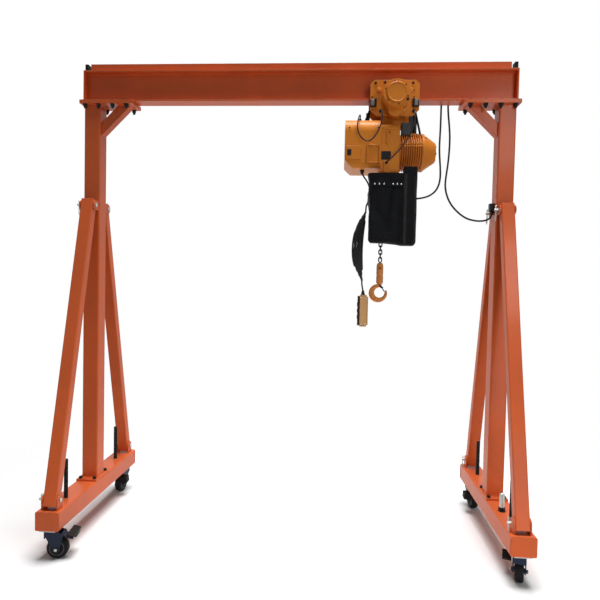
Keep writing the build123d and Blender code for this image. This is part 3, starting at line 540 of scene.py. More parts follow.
# Trolley: two chamfered steel side plates in yellow-orange paint, hung on the beam's lower flange by rollers.
# A geared travel motor with a round cover sits on the front plate, and guide brackets hug the flange.
hoist_paint = painted(
    "hoist_paint", srgb(212, 126, 36), srgb(236, 178, 92),
    gloss=0.4, wear=0.35, dust=0.04, coat=0.1, shine=0.15,
)
dress(hoist_paint, "trolley_plates", "trolley_drive", "hoist_hanger", "hoist_housing", "control_box",
      "motor_bell")
dress(black_bolt, "cable_arm", "hook_block")
trolley_low, trolley_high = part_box("trolley_plates")
trolley_x = (trolley_low[0] + trolley_high[0]) / 2
flange_level = beam_low[2]


def block(bm, low, high, bevel, segments=2):
    """A box between two corners with rounded edges."""
    made = bmesh.ops.create_cube(bm, size=1.0)
    low, high = Vector(low), Vector(high)
    size = high - low
    bmesh.ops.transform(
        bm, matrix=Matrix.Translation((low + high) / 2) @ Matrix.Diagonal((*size, 1.0)), verts=made["verts"]
    )
    edges = list({edge for vert in made["verts"] for edge in vert.link_edges})
    bmesh.ops.bevel(bm, geom=edges, offset=bevel, segments=segments, affect="EDGES")


plate_front, plate_rear = trolley_low[1], trolley_high[1]
corner_bolts = ((0.510, 2.910), (0.570, 2.914), (0.688, 2.914), (0.744, 2.910))
corner_bolt_size = 0.014
small_bolts = ((0.491, 2.824), (0.491, 2.741), (0.752, 2.866), (0.752, 2.824), (0.752, 2.747))
small_bolt_size = 0.007
axle_xs, axle_level = (0.532, 0.732), 2.8665
axle_boss = [(0.02, 0.0), (0.02, 0.008), (0.016, 0.012)]
axle_bolt_size = 0.018
tie_bar_xs, tie_bar_level = (0.577, 0.687), 2.745
tie_bar_nut_size = 0.03
trolley_bolts = bmesh.new()
for x, z in corner_bolts:
    hex_bolt(trolley_bolts, (x, plate_front, z), (0, -1, 0), corner_bolt_size, washer=False)
    hex_bolt(trolley_bolts, (x, plate_rear, z), (0, 1, 0), corner_bolt_size, washer=False)
for x, z in small_bolts:
    hex_bolt(trolley_bolts, (x, plate_front, z), (0, -1, 0), small_bolt_size, washer=False)
for x in axle_xs:
    turned(trolley_bolts, axle_boss, (x, plate_rear, axle_level), (0, 1, 0))
    bolt_seat = (x, plate_rear + axle_boss[-1][1], axle_level)
    hex_bolt(trolley_bolts, bolt_seat, (0, 1, 0), axle_bolt_size, washer=False)
for x in tie_bar_xs:
    hex_bolt(trolley_bolts, (x, plate_rear, tie_bar_level), (0, 1, 0), tie_bar_nut_size)
add_piece("trolley_bolts", trolley_bolts, black_bolt, "trolley")

bracket_foot, bracket_head = 2.764, 2.803
bracket_half = 0.017
bracket_depth = 0.026
seat_depth, cheek_depth = 0.016, 0.024
cheek_half = 0.006
guide_seats = bmesh.new()
guide_faces = bmesh.new()
for x, inward in ((0.495, 1), (0.765, -1)):
    inner = x + inward * bracket_half
    block(guide_seats, (x - bracket_half, plate_front - seat_depth, bracket_foot - 0.004),
          (x + bracket_half, plate_front, bracket_head + 0.002), 0.003)
    block(guide_seats, (inner - cheek_half, plate_front - cheek_depth, bracket_foot - 0.004),
          (inner + cheek_half, plate_front, bracket_head + 0.006), 0.002)
    block(guide_faces, (x - 0.014, plate_front - bracket_depth, bracket_foot),
          (x + 0.010, plate_front - 0.014, bracket_head), 0.003)
add_piece("trolley_guide_seats", guide_seats, black_bolt, "trolley")
bracket_grey = painted(
    "bracket_grey", srgb(112, 110, 107), srgb(160, 158, 152),
    gloss=0.5, wear=0.4, dust=0.04, metallic=0.3, shine=0.2,
)
add_piece("trolley_guide_brackets", guide_faces, bracket_grey, "trolley")

strap_y = 0.055
strap_radius = 0.007
strap_routes = [
    ((0.776, strap_y, 2.790), (0.822, strap_y, 2.598)), ((0.776, strap_y, 2.790), (0.774, strap_y, 2.598)),
    ((0.488, strap_y, 2.790), (0.446, strap_y, 2.678)),
]
straps = bmesh.new()
for top, foot in strap_routes:
    along = Vector(foot) - Vector(top)
    turned(straps, [(strap_radius, 0.0), (strap_radius, along.length)], top, along, steps=12)
add_piece("hoist_stay_straps", straps, black_bolt, "trolley")
stay_front, stay_rear, stay_head = 0.056, 0.061, 2.765
stay_plates = bmesh.new()
for left, right, foot in ((0.742, 0.792, 2.604), (0.462, 0.486, 2.682)):
    block(stay_plates, (left, stay_front, foot), (right, stay_rear, stay_head), 0.002)
add_piece("hoist_stay_plates", stay_plates, core_grey, "trolley")

drive_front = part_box("trolley_drive")[0][1]
painted_caps = ((0.532, 2.8663), (0.732, 2.8663), (0.577, 2.745), (0.687, 2.745))
drive_rims = bmesh.new()
for x, z in painted_caps:
    turned(drive_rims, [(0.018, 0.0), (0.018, 0.001), (0.016, 0.002)], (x, plate_front, z), (0, -1, 0))
turned(drive_rims, [
    (0.083, 0.0), (0.0845, 0.004), (0.0845, 0.012), (0.083, 0.016),
], (trolley_x, drive_front + 0.03, flange_level), (0, 1, 0), steps=48)
turned(drive_rims, [
    (0.061, 0.0), (0.061, 0.004), (0.058, 0.0055), (0.0545, 0.004), (0.052, 0.0015),
], (trolley_x, drive_front + 0.001, flange_level), (0, -1, 0), steps=48)
add_piece("travel_drive_rims", drive_rims, hoist_paint, "trolley")
screw_count, screw_circle, first_screw = 6, 0.071, 0.72
screw_face = drive_front + 0.012
drive_screws = bmesh.new()
for k in range(screw_count):
    turn = 2 * pi * k / screw_count + first_screw
    seat = (trolley_x + screw_circle * cos(turn), screw_face, flange_level + screw_circle * sin(turn))
    hex_bolt(drive_screws, seat, (0, -1, 0), small_bolt_size, washer=False)
add_piece("travel_drive_screws", drive_screws, black_bolt, "trolley")
plug_size = 0.014
oil_plug = bmesh.new()
hex_bolt(oil_plug, (trolley_x + 0.067, screw_face, flange_level - 0.041), (0, -1, 0), plug_size)
add_piece("travel_drive_plug", oil_plug, black_bolt, "trolley")


# Hoist: a cast gear housing between a cast control box and a finned motor, all in yellow-orange paint.
# Covers are held by small socket screws, and ribs stiffen the castings.
box_low, box_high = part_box("control_box")
housing_low, housing_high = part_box("hoist_housing")
motor_low, motor_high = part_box("hoist_motor")
bell_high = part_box("motor_bell")[1]
motor_axis = (motor_low[2] + motor_high[2]) / 2
motor_radius = (motor_high[2] - motor_low[2]) / 2
motor_length = motor_high[0] - motor_low[0]
fin_count = 11
fin_pitch = motor_length / fin_count
fin_depth = 0.016
fin_rounding = 0.001
fin_root = motor_radius - fin_depth
motor_profile = [(fin_root, 0.0)]
for fin in range(fin_count):
    start = fin * fin_pitch + 0.25 * fin_pitch
    motor_profile += [
        (radius, start + share * fin_pitch) for radius, share in (
            (fin_root, 0.0), (motor_radius - fin_rounding, 0.1), (motor_radius, 0.2),
            (motor_radius, 0.3), (motor_radius - fin_rounding, 0.4), (fin_root, 0.5),
        )
    ]
motor_profile.append((fin_root, motor_length))
finned_motor = bmesh.new()
turned(finned_motor, motor_profile, (motor_low[0], 0, motor_axis), (1, 0, 0), steps=64)
for turn in (0.15, 0.30):
    ridge = (motor_low[0], -motor_radius * cos(turn) + 0.004, motor_axis + motor_radius * sin(turn))
    turned(finned_motor, [(0.0035, 0.004), (0.0035, motor_length - 0.004)], ridge, (1, 0, 0), steps=10)
block(finned_motor, (motor_low[0] + 0.02, -0.04, motor_axis + 0.09),
      (motor_high[0] - 0.02, 0.04, motor_axis + 0.117), 0.006)
motor_piece = add_piece("finned_motor", finned_motor, hoist_paint, "trolley")
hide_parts("hoist_motor")


def raised(bm, sides, levels, surface, rise, rounding, bedding=0.02):
    """A rib or pad that stands proud of a casting's front and is bedded into it."""
    block(bm, (sides[0], surface - rise, levels[0]), (sides[1], surface + bedding, levels[1]), rounding)


box_front, housing_front = box_low[1], housing_low[1]
cover_sides = (box_low[0] + 0.004, box_low[0] + 0.098)
cover_levels = (box_low[2] + 0.046, box_low[2] + 0.135)
rib_sides, rib_levels = (0.578, 0.594), (box_low[2] + 0.145, box_high[2] - 0.09)
recess_left, recess_right, recess_foot, recess_head = 0.470, 0.534, 2.402, 2.498
recess_rim = 0.012
outer_levels = (recess_foot - recess_rim, recess_head + recess_rim)
lug_sides, lug_levels = (housing_low[0] + 0.016, housing_low[0] + 0.058), (2.330, 2.412)
ledge_sides, ledge_levels = (housing_low[0] + 0.006, housing_high[0] - 0.006), (2.600, 2.618)
casting_details = bmesh.new()
raised(casting_details, cover_sides, cover_levels, box_front, 0.005, 0.004)
raised(casting_details, rib_sides, rib_levels, box_front, 0.004, 0.004)
for sides, levels in (
    ((recess_left - recess_rim, recess_left), outer_levels),
    ((recess_right, recess_right + recess_rim), outer_levels),
    ((recess_left, recess_right), (recess_foot - recess_rim, recess_foot)),
    ((recess_left, recess_right), (recess_head, recess_head + recess_rim)),
):
    raised(casting_details, sides, levels, box_front, 0.010, 0.003)
raised(casting_details, lug_sides, lug_levels, housing_front, 0.010, 0.006)
raised(casting_details, ledge_sides, ledge_levels, housing_front, 0.006, 0.003)
turned(casting_details, [(0.1175, 0.0), (0.1195, 0.004), (0.1195, 0.012), (0.1175, 0.016)],
       (motor_high[0] - 0.006, 0, motor_axis), (1, 0, 0), steps=64)
ear_circle = 0.112
for turn in (0.72, 2.42, 3.86, 5.56):
    ear = (motor_high[0] - 0.004, -ear_circle * cos(turn), motor_axis + ear_circle * sin(turn))
    turned(casting_details, [(0.011, 0.0), (0.011, 0.020), (0.009, 0.022)], ear, (1, 0, 0), steps=20)
add_piece("hoist_casting_ribs", casting_details, hoist_paint, "trolley")

limit_switch = bmesh.new()
block(limit_switch, (0.680, -0.075, motor_axis + 0.095), (0.735, -0.020, 2.665), 0.004)
add_piece("limit_switch_box", limit_switch, core_grey, "trolley")

# Painted shadow: thin black pads on the control box's lower left and on the gear housing's front stand in for
# the shade that falls there.
box_shadow_sides = (box_low[0] + 0.014, box_low[0] + 0.040)
box_shadow_levels = (box_low[2] + 0.072, box_low[2] + 0.112)
housing_shadow_sides, housing_shadow_levels = (housing_low[0] + 0.004, housing_low[0] + 0.062), (2.418, 2.470)
painted_shadow_patches = bmesh.new()
raised(painted_shadow_patches, box_shadow_sides, box_shadow_levels, box_front, 0.007, 0.002, bedding=0.01)
raised(painted_shadow_patches, housing_shadow_sides, housing_shadow_levels, housing_front, 0.003, 0.002, bedding=0.01)
add_piece("hoist_painted_shadow_patches", painted_shadow_patches, black_bolt, "trolley")

cover_screws = ((0.352, 2.612), (0.352, 2.470), (0.530, 2.612), (0.600, 2.585))
cover_screw_size = 0.008
bell_screw_count, bell_screw_circle, bell_screw_size = 6, 0.046, 0.010
bell_seat = bell_high[0] - 0.0005
hoist_screws = bmesh.new()
for x, z in cover_screws:
    face = box_front if x < housing_low[0] else housing_front
    hex_bolt(hoist_screws, (x, face, z), (0, -1, 0), cover_screw_size, washer=False)
for k in range(bell_screw_count):
    turn = 2 * pi * k / bell_screw_count + 0.3
    seat = (bell_seat, bell_screw_circle * cos(turn), motor_axis + bell_screw_circle * sin(turn))
    hex_bolt(hoist_screws, seat, (1, 0, 0), bell_screw_size, washer=False)
add_piece("hoist_cover_screws", hoist_screws, black_bolt, "trolley")


# Chain bag: a sewn bag of coated black cloth that hangs under the gear housing and takes up the slack chain.
# Its front and left are slack and creased, its right end is a smooth stiffened panel behind a lighter welt.
bag_low, bag_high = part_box("chain_bag")
bag_corner = 0.03
welt_start, welt_end = 0.686, 0.708
slack_start = 0.03


def cloth_group():
    """Coated cloth: a fine crossed weave, dull creases and a little rubbed sheen."""
    tree, given, result = new_group(
        "coated cloth",
        [("Cloth", "NodeSocketColor"), ("Rubbed", "NodeSocketColor"), ("Weave", "NodeSocketFloat")],
        [("Color", "NodeSocketColor"), ("Roughness", "NodeSocketFloat"), ("Height", "NodeSocketFloat")],
    )
    place = add_node(tree, "TexCoord").outputs["Object"]
    scaled = add_node(tree, "VectorMath", {0: place, "Scale": given.outputs["Weave"]}, operation="SCALE")
    warp, weft = [
        add_node(tree, "TexWave", {"Vector": scaled.outputs["Vector"], "Scale": 1.0, "Distortion": 0.4},
                 wave_type="BANDS", bands_direction=way).outputs["Fac"]
        for way in ("Z", "X")
    ]
    woven = add_node(tree, "Math", {0: warp, 1: weft}, operation="MULTIPLY")
    scuffs = add_node(
        tree, "TexNoise", {"Vector": place, "Scale": 14.0, "Detail": 6.0, "Roughness": 0.68}
    ).outputs["Fac"]
    scuffed = add_node(tree, "MapRange", {"Value": scuffs, "From Min": 0.48, "From Max": 0.8, "To Max": 0.75})
    colour = add_node(tree, "Mix", {
        "Factor": scuffed.outputs["Result"], "A": given.outputs["Cloth"], "B": given.outputs["Rubbed"],
    }, data_type="RGBA")
    rough = add_node(tree, "MapRange", {
        "Value": scuffs, "From Min": 0.3, "From Max": 0.7, "To Min": 0.42, "To Max": 0.62,
    })
    feed(tree, result, {
        "Color": colour.outputs["Result"], "Roughness": rough.outputs["Result"], "Height": woven.outputs[0],
    })
    return tree


coated_cloth = cloth_group()


def sewn(name, cloth, rubbed, weave, depth):
    """A cloth finish made from the coated cloth group."""
    material = bpy.data.materials.new(name)
    material.use_nodes = True
    tree = material.node_tree
    fabric = add_node(
        tree, "Group", {"Cloth": cloth, "Rubbed": rubbed, "Weave": weave}, node_tree=coated_cloth
    ).outputs
    bump = add_node(tree, "Bump", {"Strength": 0.5, "Distance": depth, "Height": fabric["Height"]})
    feed(tree, tree.nodes["Principled BSDF"], {
        "Base Color": fabric["Color"], "Roughness": fabric["Roughness"], "Normal": bump.outputs["Normal"],
        "Specular IOR Level": 0.07,
    })
    return material


bag_cloth = sewn("bag_cloth", srgb(8, 9, 12), srgb(20, 21, 25), weave=140.0, depth=0.0006)
welt_cloth = sewn("welt_cloth", srgb(40, 38, 37), srgb(58, 56, 53), weave=140.0, depth=0.0005)


def rounded_outline(low, high, corner, per_side, per_corner):
    """Points round a rectangle with rounded corners, each with its outward direction."""
    points = []
    corners = [
        (high[0] - corner, low[1] + corner, -pi / 2), (high[0] - corner, high[1] - corner, 0.0),
        (low[0] + corner, high[1] - corner, pi / 2), (low[0] + corner, low[1] + corner, pi),
    ]
    for index, (x, y, start) in enumerate(corners):
        for k in range(per_corner + 1):
            turn = start + pi / 2 * k / per_corner
            out = Vector((cos(turn), sin(turn), 0))
            points.append((Vector((x + corner * cos(turn), y + corner * sin(turn), 0)), out))
        next_x, next_y, _ = corners[(index + 1) % 4]
        out = Vector((cos(start + pi / 2), sin(start + pi / 2), 0))
        first = Vector((x, y, 0)) + corner * out
        last = Vector((next_x, next_y, 0)) + corner * out
        for k in range(1, per_side):
            points.append((first.lerp(last, k / per_side), out))
    return points


def bag_slack(place):
    """How slack the cloth is: all of it on the left, none on the stiffened right panel."""
    return min(1.0, max(0.0, (welt_start - place.x) / slack_start))


bag = bmesh.new()
bag_outline = rounded_outline(bag_low, bag_high, bag_corner, 44, 6)
bag_rows = 80
bag_floor_lift = 0.014
bag_height = bag_high[2] - bag_low[2]
held_share = 0.12
fold_depth, crease_depth, crumple_depth, sway_depth = 0.010, 0.007, 0.002, 0.003
folds_across, folds_along, fold_bias = 22, 3.4, 0.7
creases_across, creases_along, crease_start = 11, 8, 4
crease_sharpness, crease_floor = 3.2, -0.4
crumple_scale, sway_scale, sway_bias = 38, 7, 0.5
hem_share, hem_depth = 0.06, 0.014
panel_turn = 0.62
panel_depth = 0.06
bag_rings = []
for row in range(bag_rows + 1):
    share = row / bag_rows
    bag_row = []
    for place, out in bag_outline:
        slack = bag_slack(place)
        z = bag_low[2] + bag_floor_lift * slack + (bag_height - bag_floor_lift * slack) * share
        held = min(1.0, (1.0 - share) / held_share)
        spot = Vector((place.x, place.y, z))
        folds = noise.noise(Vector((spot.x * folds_across, spot.y * folds_across, spot.z * folds_along)))
        crease_spot = Vector((
            spot.x * creases_across + crease_start, spot.y * creases_across, spot.z * creases_along
        ))
        creases = max(1.0 - crease_sharpness * abs(noise.noise(crease_spot)), crease_floor)
        crumple = noise.noise(spot * crumple_scale)
        sway = sway_bias + noise.noise(spot * sway_scale)
        loose = fold_depth * (folds + fold_bias) + crease_depth * creases + crumple_depth * crumple
        inward = slack * held * loose + held * sway_depth * sway
        inward += hem_depth * max(0.0, 1.0 - share / hem_share) ** 2
        spot -= out * max(inward, 0.0)
        if spot.y < bag_low[1] + panel_depth:
            spot.y += panel_turn * max(0.0, place.x - welt_end)
        bag_row.append(bag.verts.new(spot))
    bag_rings.append(bag_row)
skin(bag, bag_rings, capped=False)
count = len(bag_outline)
floor_middle = sum((vert.co for vert in bag_rings[0]), Vector()) / count
inner = [bag.verts.new(vert.co.lerp(floor_middle, 0.5)) for vert in bag_rings[0]]
for k in range(count):
    bag.faces.new((bag_rings[0][(k + 1) % count], bag_rings[0][k], inner[k], inner[(k + 1) % count]))
bag.faces.new(inner[::-1])
bag_area = sum(face.calc_area() for face in bag.faces)
bag_piece = add_piece("slack_chain_bag", bag, bag_cloth, "trolley", smooth=80)
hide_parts("chain_bag")

rivet_xs, rivet_level = (0.511, 0.538, 0.566, 0.621, 0.646, 0.670), 2.252
rivet_shape = [(0.005, 0.0), (0.005, 0.002), (0.003, 0.0035)]
rivets = bmesh.new()
for x in rivet_xs:
    turned(rivets, rivet_shape, (x, bag_low[1] - 0.0015, rivet_level), (0, -1, 0), steps=12)
rivet_piece = add_piece("bag_rivets", rivets, zinc_plate, "trolley")
welt = bmesh.new()
block(welt, (welt_start, bag_low[1] - 0.001, bag_low[2] + 0.006),
      (welt_end, bag_low[1] + 0.012, bag_high[2] - 0.004), 0.003)
welt_piece = add_piece("bag_welt", welt, welt_cloth, "trolley")
band_half = 0.016
hem = bmesh.new()
block(hem, (bag_low[0] + 0.01, bag_low[1] - 0.002, rivet_level - band_half),
      (welt_start - 0.004, bag_low[1] + 0.006, rivet_level + band_half), 0.002)
hem_piece = add_piece("bag_rivet_band", hem, bag_cloth, "trolley")
lip_start, lip_top = 0.690, 2.366
lip = bmesh.new()
block(lip, (lip_start, bag_low[1] + 0.030, bag_high[2] - 0.006),
      (bag_high[0] - 0.004, bag_high[1] - 0.012, lip_top), 0.004)
lip_piece = add_piece("bag_panel_lip", lip, bag_cloth, "trolley")


# Load chain: welded round-steel links, each turned a quarter from the next, from the housing to the block.
# It runs out and in with the hook.
chain_low, chain_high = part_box("load_chain")
chain_x = (chain_low[0] + chain_high[0]) / 2
chain_wire = 0.004
link_bend = 0.0095
link_count = 21
link_step = (chain_high[2] - chain_low[2] - 4 * chain_wire) / link_count
link_straight = link_step - 2 * (link_bend - chain_wire) + 0.0004
link_sides = 10
bend_steps = 8
link_ways = (Vector((1, 0, 0)), Vector((0, 1, 0)))
chain = bmesh.new()
for index in range(link_count):
    middle = chain_low[2] + 2 * chain_wire + (index + 0.5) * link_step
    flat, side = link_ways if index % 2 == 0 else link_ways[::-1]
    rings = []
    for half, end in ((0, 1), (1, -1)):
        bend_middle = Vector((chain_x, 0, middle + (link_straight / 2) * end))
        for k in range(bend_steps + 1):
            turn = pi * half + pi * k / bend_steps
            out = flat * cos(turn) + Vector((0, 0, sin(turn)))
            rings.append(ring(chain, bend_middle + out * link_bend, out, side, chain_wire, link_sides))
    skin(chain, rings + rings[:1], capped=False)
chain_steel = painted(
    "chain_steel", srgb(40, 39, 40), srgb(96, 94, 92),
    gloss=0.4, wear=0.6, dust=0.03, metallic=0.5, shine=0.15,
)
chain_piece = mesh_object("welded_load_chain", chain, chain_steel)
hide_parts("load_chain")
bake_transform(chain_piece)


# Hook: a forged hook in tan-orange paint that swivels in a turned block, with a sprung latch over its mouth.
# Its section is oval, thick in the back of the bowl and tapered to the tip.
hook_paint = painted(
    "hook_paint", srgb(216, 138, 70), srgb(206, 166, 126),
    gloss=0.45, wear=0.4, dust=0.04, coat=0.1, shine=0.15,
)
block_low, block_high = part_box("hook_block")
bowl = Vector((chain_x, 0, block_low[2] - 0.056))
bowl_radius = 0.033
outer_middle = Vector((chain_x - 0.009, 0, block_low[2] - 0.0605))
outer_radius = 0.06
hook_half = 0.014
mouth_high, mouth_low = radians(80), radians(22)


def hook_outside(turn):
    """Distance from the bowl's centre to the hook's outside in a direction."""
    way = Vector((cos(turn), 0, sin(turn)))
    offset = bowl - outer_middle
    along = offset.dot(way)
    return -along + sqrt(along * along - offset.length_squared + outer_radius * outer_radius)


hook = bmesh.new()
hook_steps = 56
hook_sides = 16
end_steps = 4
squareness = 0.72
tip_share, tip_steps = 0.75, 12
hook_rings = []
for step in range(hook_steps + 1):
    turn = mouth_high + (2 * pi + mouth_low - mouth_high) * step / hook_steps
    way = Vector((cos(turn), 0, sin(turn)))
    outside = hook_outside(turn)
    ends = min(step, hook_steps - step)
    rounding = sqrt(max(0.0, 1 - (1 - min(1.0, ends / end_steps + 0.06)) ** 2))
    middle, half = (bowl_radius + outside) / 2, (outside - bowl_radius) / 2 * rounding
    taper = tip_share + (1 - tip_share) * min(1.0, (hook_steps - step) / tip_steps)
    width = hook_half * taper * rounding
    section = []
    for k in range(hook_sides):
        c, s = cos(2 * pi * k / hook_sides), sin(2 * pi * k / hook_sides)
        radial = half * (abs(c) ** squareness) * (1 if c >= 0 else -1)
        deep = width * (abs(s) ** squareness) * (1 if s >= 0 else -1)
        section.append(hook.verts.new(bowl + way * (middle + radial) + Vector((0, deep, 0))))
    hook_rings.append(section)
skin(hook, hook_rings)
turned(hook, [
    (0.0135, -0.018), (0.0150, -0.010), (0.0135, -0.001), (0.011, 0.0), (0.011, 0.0255),
], (chain_x, 0, block_low[2]), (0, 0, 1), steps=28)
hook_piece = add_piece("forged_hook", hook, hook_paint, "hook", smooth=60)
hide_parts("hook")
dress(black_bolt, "hook_latch")
hook_block_body = bmesh.new()
block_height = block_high[2] - block_low[2]
turned(hook_block_body, [
    (0.0112, 0.0), (0.016, 0.0), (0.021, 0.005), (0.022, 0.012), (0.022, 0.05), (0.0205, 0.053),
    (0.0205, 0.058), (0.022, 0.061), (0.022, block_height - 0.022), (0.019, block_height - 0.006),
    (0.013, block_height),
], (chain_x, 0, block_low[2]), (0, 0, 1), steps=36)
block_piece = add_piece("turned_hook_block", hook_block_body, hook_paint, "hook_block")
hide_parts("hook_block")
block_screw_y, block_screw_size = 0.0215, 0.011
block_screw_level = block_high[2] - 0.035
block_screws = bmesh.new()
for way in (-1, 1):
    seat = (chain_x, way * block_screw_y, block_screw_level)
    hex_bolt(block_screws, seat, (0, way, 0), block_screw_size, washer=False)
add_piece("hook_block_screws", block_screws, black_bolt, "hook_block")


# Pendant control: a tan plastic box that hangs on its cable, with push buttons on a dark face to the left.
# Its two halves are held together by four small plated screws in the front.
pendant_low, pendant_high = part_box("pendant")
pendant_tan = painted(
    "pendant_tan", srgb(216, 166, 112), srgb(234, 196, 154),
    gloss=0.46, wear=0.25, dust=0.04, peel=0.0002, shine=0.2,
)
pendant_dark = painted(
    "pendant_dark", srgb(46, 34, 32), srgb(80, 70, 66),
    gloss=0.5, wear=0.25, dust=0.04, peel=0.0002, shine=0.15,
)
pendant_y = (pendant_low[1] + pendant_high[1]) / 2
face_depth = 0.012
button_levels = (1.432, 1.472, 1.512)
button_shape = [(0.013, 0.0), (0.013, 0.002), (0.011, 0.003)]
screw_shape = [(0.0045, 0.0), (0.0045, 0.001), (0.003, 0.0022)]
screw_inset = 0.018
shell = bmesh.new()
block(shell, (pendant_low[0] + 0.004, pendant_low[1], pendant_low[2]), pendant_high, 0.010, segments=4)
shell_piece = add_piece("pendant_shell", shell, pendant_tan, "trolley")
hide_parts("pendant")
button_face = bmesh.new()
block(button_face, (pendant_low[0], pendant_low[1] + 0.005, pendant_low[2] + 0.006),
      (pendant_low[0] + face_depth, pendant_high[1] - 0.005, pendant_high[2] - 0.006), 0.003)
for z in button_levels:
    turned(button_face, button_shape, (pendant_low[0], pendant_y, z), (-1, 0, 0), steps=20)
add_piece("pendant_button_face", button_face, pendant_dark, "trolley")
pendant_screws = bmesh.new()
for z in (pendant_low[2] + screw_inset, pendant_high[2] - screw_inset):
    for x in (pendant_low[0] + 0.02, pendant_high[0] - 0.014):
        turned(pendant_screws, screw_shape, (x, pendant_low[1], z), (0, -1, 0), steps=12)
add_piece("pendant_screws", pendant_screws, zinc_plate, "trolley")


# Cables: black rubber-sheathed cords. The spare pendant cable hangs in a hank below the control box.
# Thin leads loop from the trolley to the hoist, and the supply cable hangs over a peg to the right post.
cable_black = painted(
    "cable_black", srgb(19, 20, 23), srgb(44, 46, 50),
    gloss=0.4, wear=0.2, dust=0.03, peel=0.0002, shine=0.2,
)
gland_black = painted(
    "gland_black", srgb(20, 20, 21), srgb(48, 48, 48),
    gloss=0.5, wear=0.3, dust=0.03, peel=0.0002, shine=0.15,
)


def cord_curve(name, points, radius):
    """A cord as one smooth open spline in the crane's frame."""
    piece = wire_curve(name, [points], radius, cable_black, "trolley")
    piece.data.resolution_u = 5
    return piece


def spline_length(piece):
    """The length of a curve's own line and the points along it."""
    bare = piece.data.copy()
    bare.bevel_depth = 0.0
    carrier = bpy.data.objects.new("measured line", bare)
    bpy.context.scene.collection.objects.link(carrier)
    bpy.context.view_layer.update()
    line = bpy.data.meshes.new_from_object(carrier)
    points = [vert.co.copy() for vert in line.vertices]
    bpy.data.objects.remove(carrier)
    bpy.data.meshes.remove(line)
    return sum((b - a).length for a, b in zip(points, points[1:])), points


pendant_feed_points = [
    (0.440, -0.052, 2.368), (0.440, -0.052, 2.340), (0.472, -0.052, 2.302), (0.490, -0.052, 2.262),
    (0.491, -0.052, 2.212), (0.482, -0.052, 2.166), (0.470, -0.052, 2.138), (0.470, -0.052, 2.1103),
]
pendant_tail_points = [
    (0.456, -0.052, 1.6597), (0.456, -0.052, 1.636), (0.464, -0.064, 1.600), (0.464, -0.064, 1.573),
]
hank_low, hank_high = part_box("pendant_hank")
hank_y = (hank_low[1] + hank_high[1]) / 2
hank_height = hank_high[2] - hank_low[2]
hank_cable = 0.005
hank_fold = (hank_high[1] - hank_low[1]) / 2 - hank_cable
hank_ends = (0.443, 0.469, 0.457, 0.483)
left_bulge, right_bulge = 0.066, 0.020
leg_points = 5
fold_points = 6
hank_turns = (
    (0.00, 0.092, 0.070), (0.17, 0.060, 0.050), (0.33, 0.028, 0.026), (0.50, 0.006, 0.008),
    (0.67, 0.000, 0.000), (0.83, 0.036, 0.026), (1.00, 0.070, 0.058),
)


def hank_x(z, across):
    """A place across the hank's crescent at a height, from its left edge to its right edge."""
    share = (z - hank_low[2]) / hank_height
    bow = 4 * share * (1 - share)
    left = hank_ends[0] + (hank_ends[2] - hank_ends[0]) * share - left_bulge * bow + hank_cable
    right = hank_ends[1] + (hank_ends[3] - hank_ends[1]) * share - right_bulge * bow - hank_cable
    return left + (right - left) * across


hank_route = []
fold_reach = hank_fold / cos(pi / (2 * fold_points - 2))
last_across, last_drop = 0.6, 0.04
head_drops = [drop for _, _, drop in hank_turns[1:]] + [last_drop]
for index, (across, foot_lift, head_drop) in enumerate(hank_turns):
    after = hank_turns[index + 1][0] if index + 1 < len(hank_turns) else last_across
    bottom = hank_low[2] + hank_cable + foot_lift + hank_fold
    top = hank_high[2] - hank_cable - head_drop - hank_fold
    next_top = hank_high[2] - hank_cable - head_drops[index] - hank_fold
    for step in range(leg_points):
        z = top + (bottom - top) * (step + 0.5) / leg_points
        hank_route.append((hank_x(z, across), hank_y - hank_fold, z))
    for step in range(fold_points):
        turn = pi * step / (fold_points - 1)
        z = bottom - fold_reach * sin(turn)
        hank_route.append((hank_x(z, across), hank_y - fold_reach * cos(turn), z))
    for step in range(leg_points):
        z = bottom + (next_top - bottom) * (step + 0.5) / leg_points
        shift = across + (after - across) * 0.5 * step / leg_points
        hank_route.append((hank_x(z, shift), hank_y + hank_fold, z))
    for step in range(fold_points):
        turn = pi * step / (fold_points - 1)
        z = next_top + fold_reach * sin(turn)
        shift = across + (after - across) * (0.5 + 0.5 * step / (fold_points - 1))
        hank_route.append((hank_x(z, shift), hank_y + fold_reach * cos(turn), z))
hank_start = [(0.462, -0.066, 2.070)]
last_top, last_bottom = 2.02, 1.70
hank_last = []
for step in range(leg_points):
    share = step / (leg_points - 1)
    z = last_top + (last_bottom - last_top) * share
    hank_last.append((hank_x(z, last_across), hank_y - hank_fold * (1 - share) ** 2, z))
pendant_route = pendant_feed_points + hank_start + hank_route + hank_last + pendant_tail_points
pendant_cord = cord_curve("pendant_cord", pendant_route, hank_cable)
pendant_cord_length, _ = spline_length(pendant_cord)
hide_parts("pendant_hank", "pendant_cable")


def gland(name, profile, place, way, body):
    """A turned sleeve or gland where a cable goes in."""
    bm = bmesh.new()
    turned(bm, profile, place, way, steps=20)
    return add_piece(name, bm, gland_black, body)


sleeve_piece = gland("pendant_cable_sleeve", [
    (0.013, 0.0), (0.013, 0.006), (0.011, 0.008), (0.011, 0.014), (0.009, 0.016), (0.009, 0.024),
    (0.0058, 0.03),
], pendant_tail_points[-1], (0, 0, 1), "trolley")
gland("pendant_feed_gland", [(0.014, 0.0), (0.014, 0.008), (0.011, 0.010), (0.011, 0.018), (0.006, 0.026)],
      pendant_feed_points[0], (0, 0, -1), "trolley")

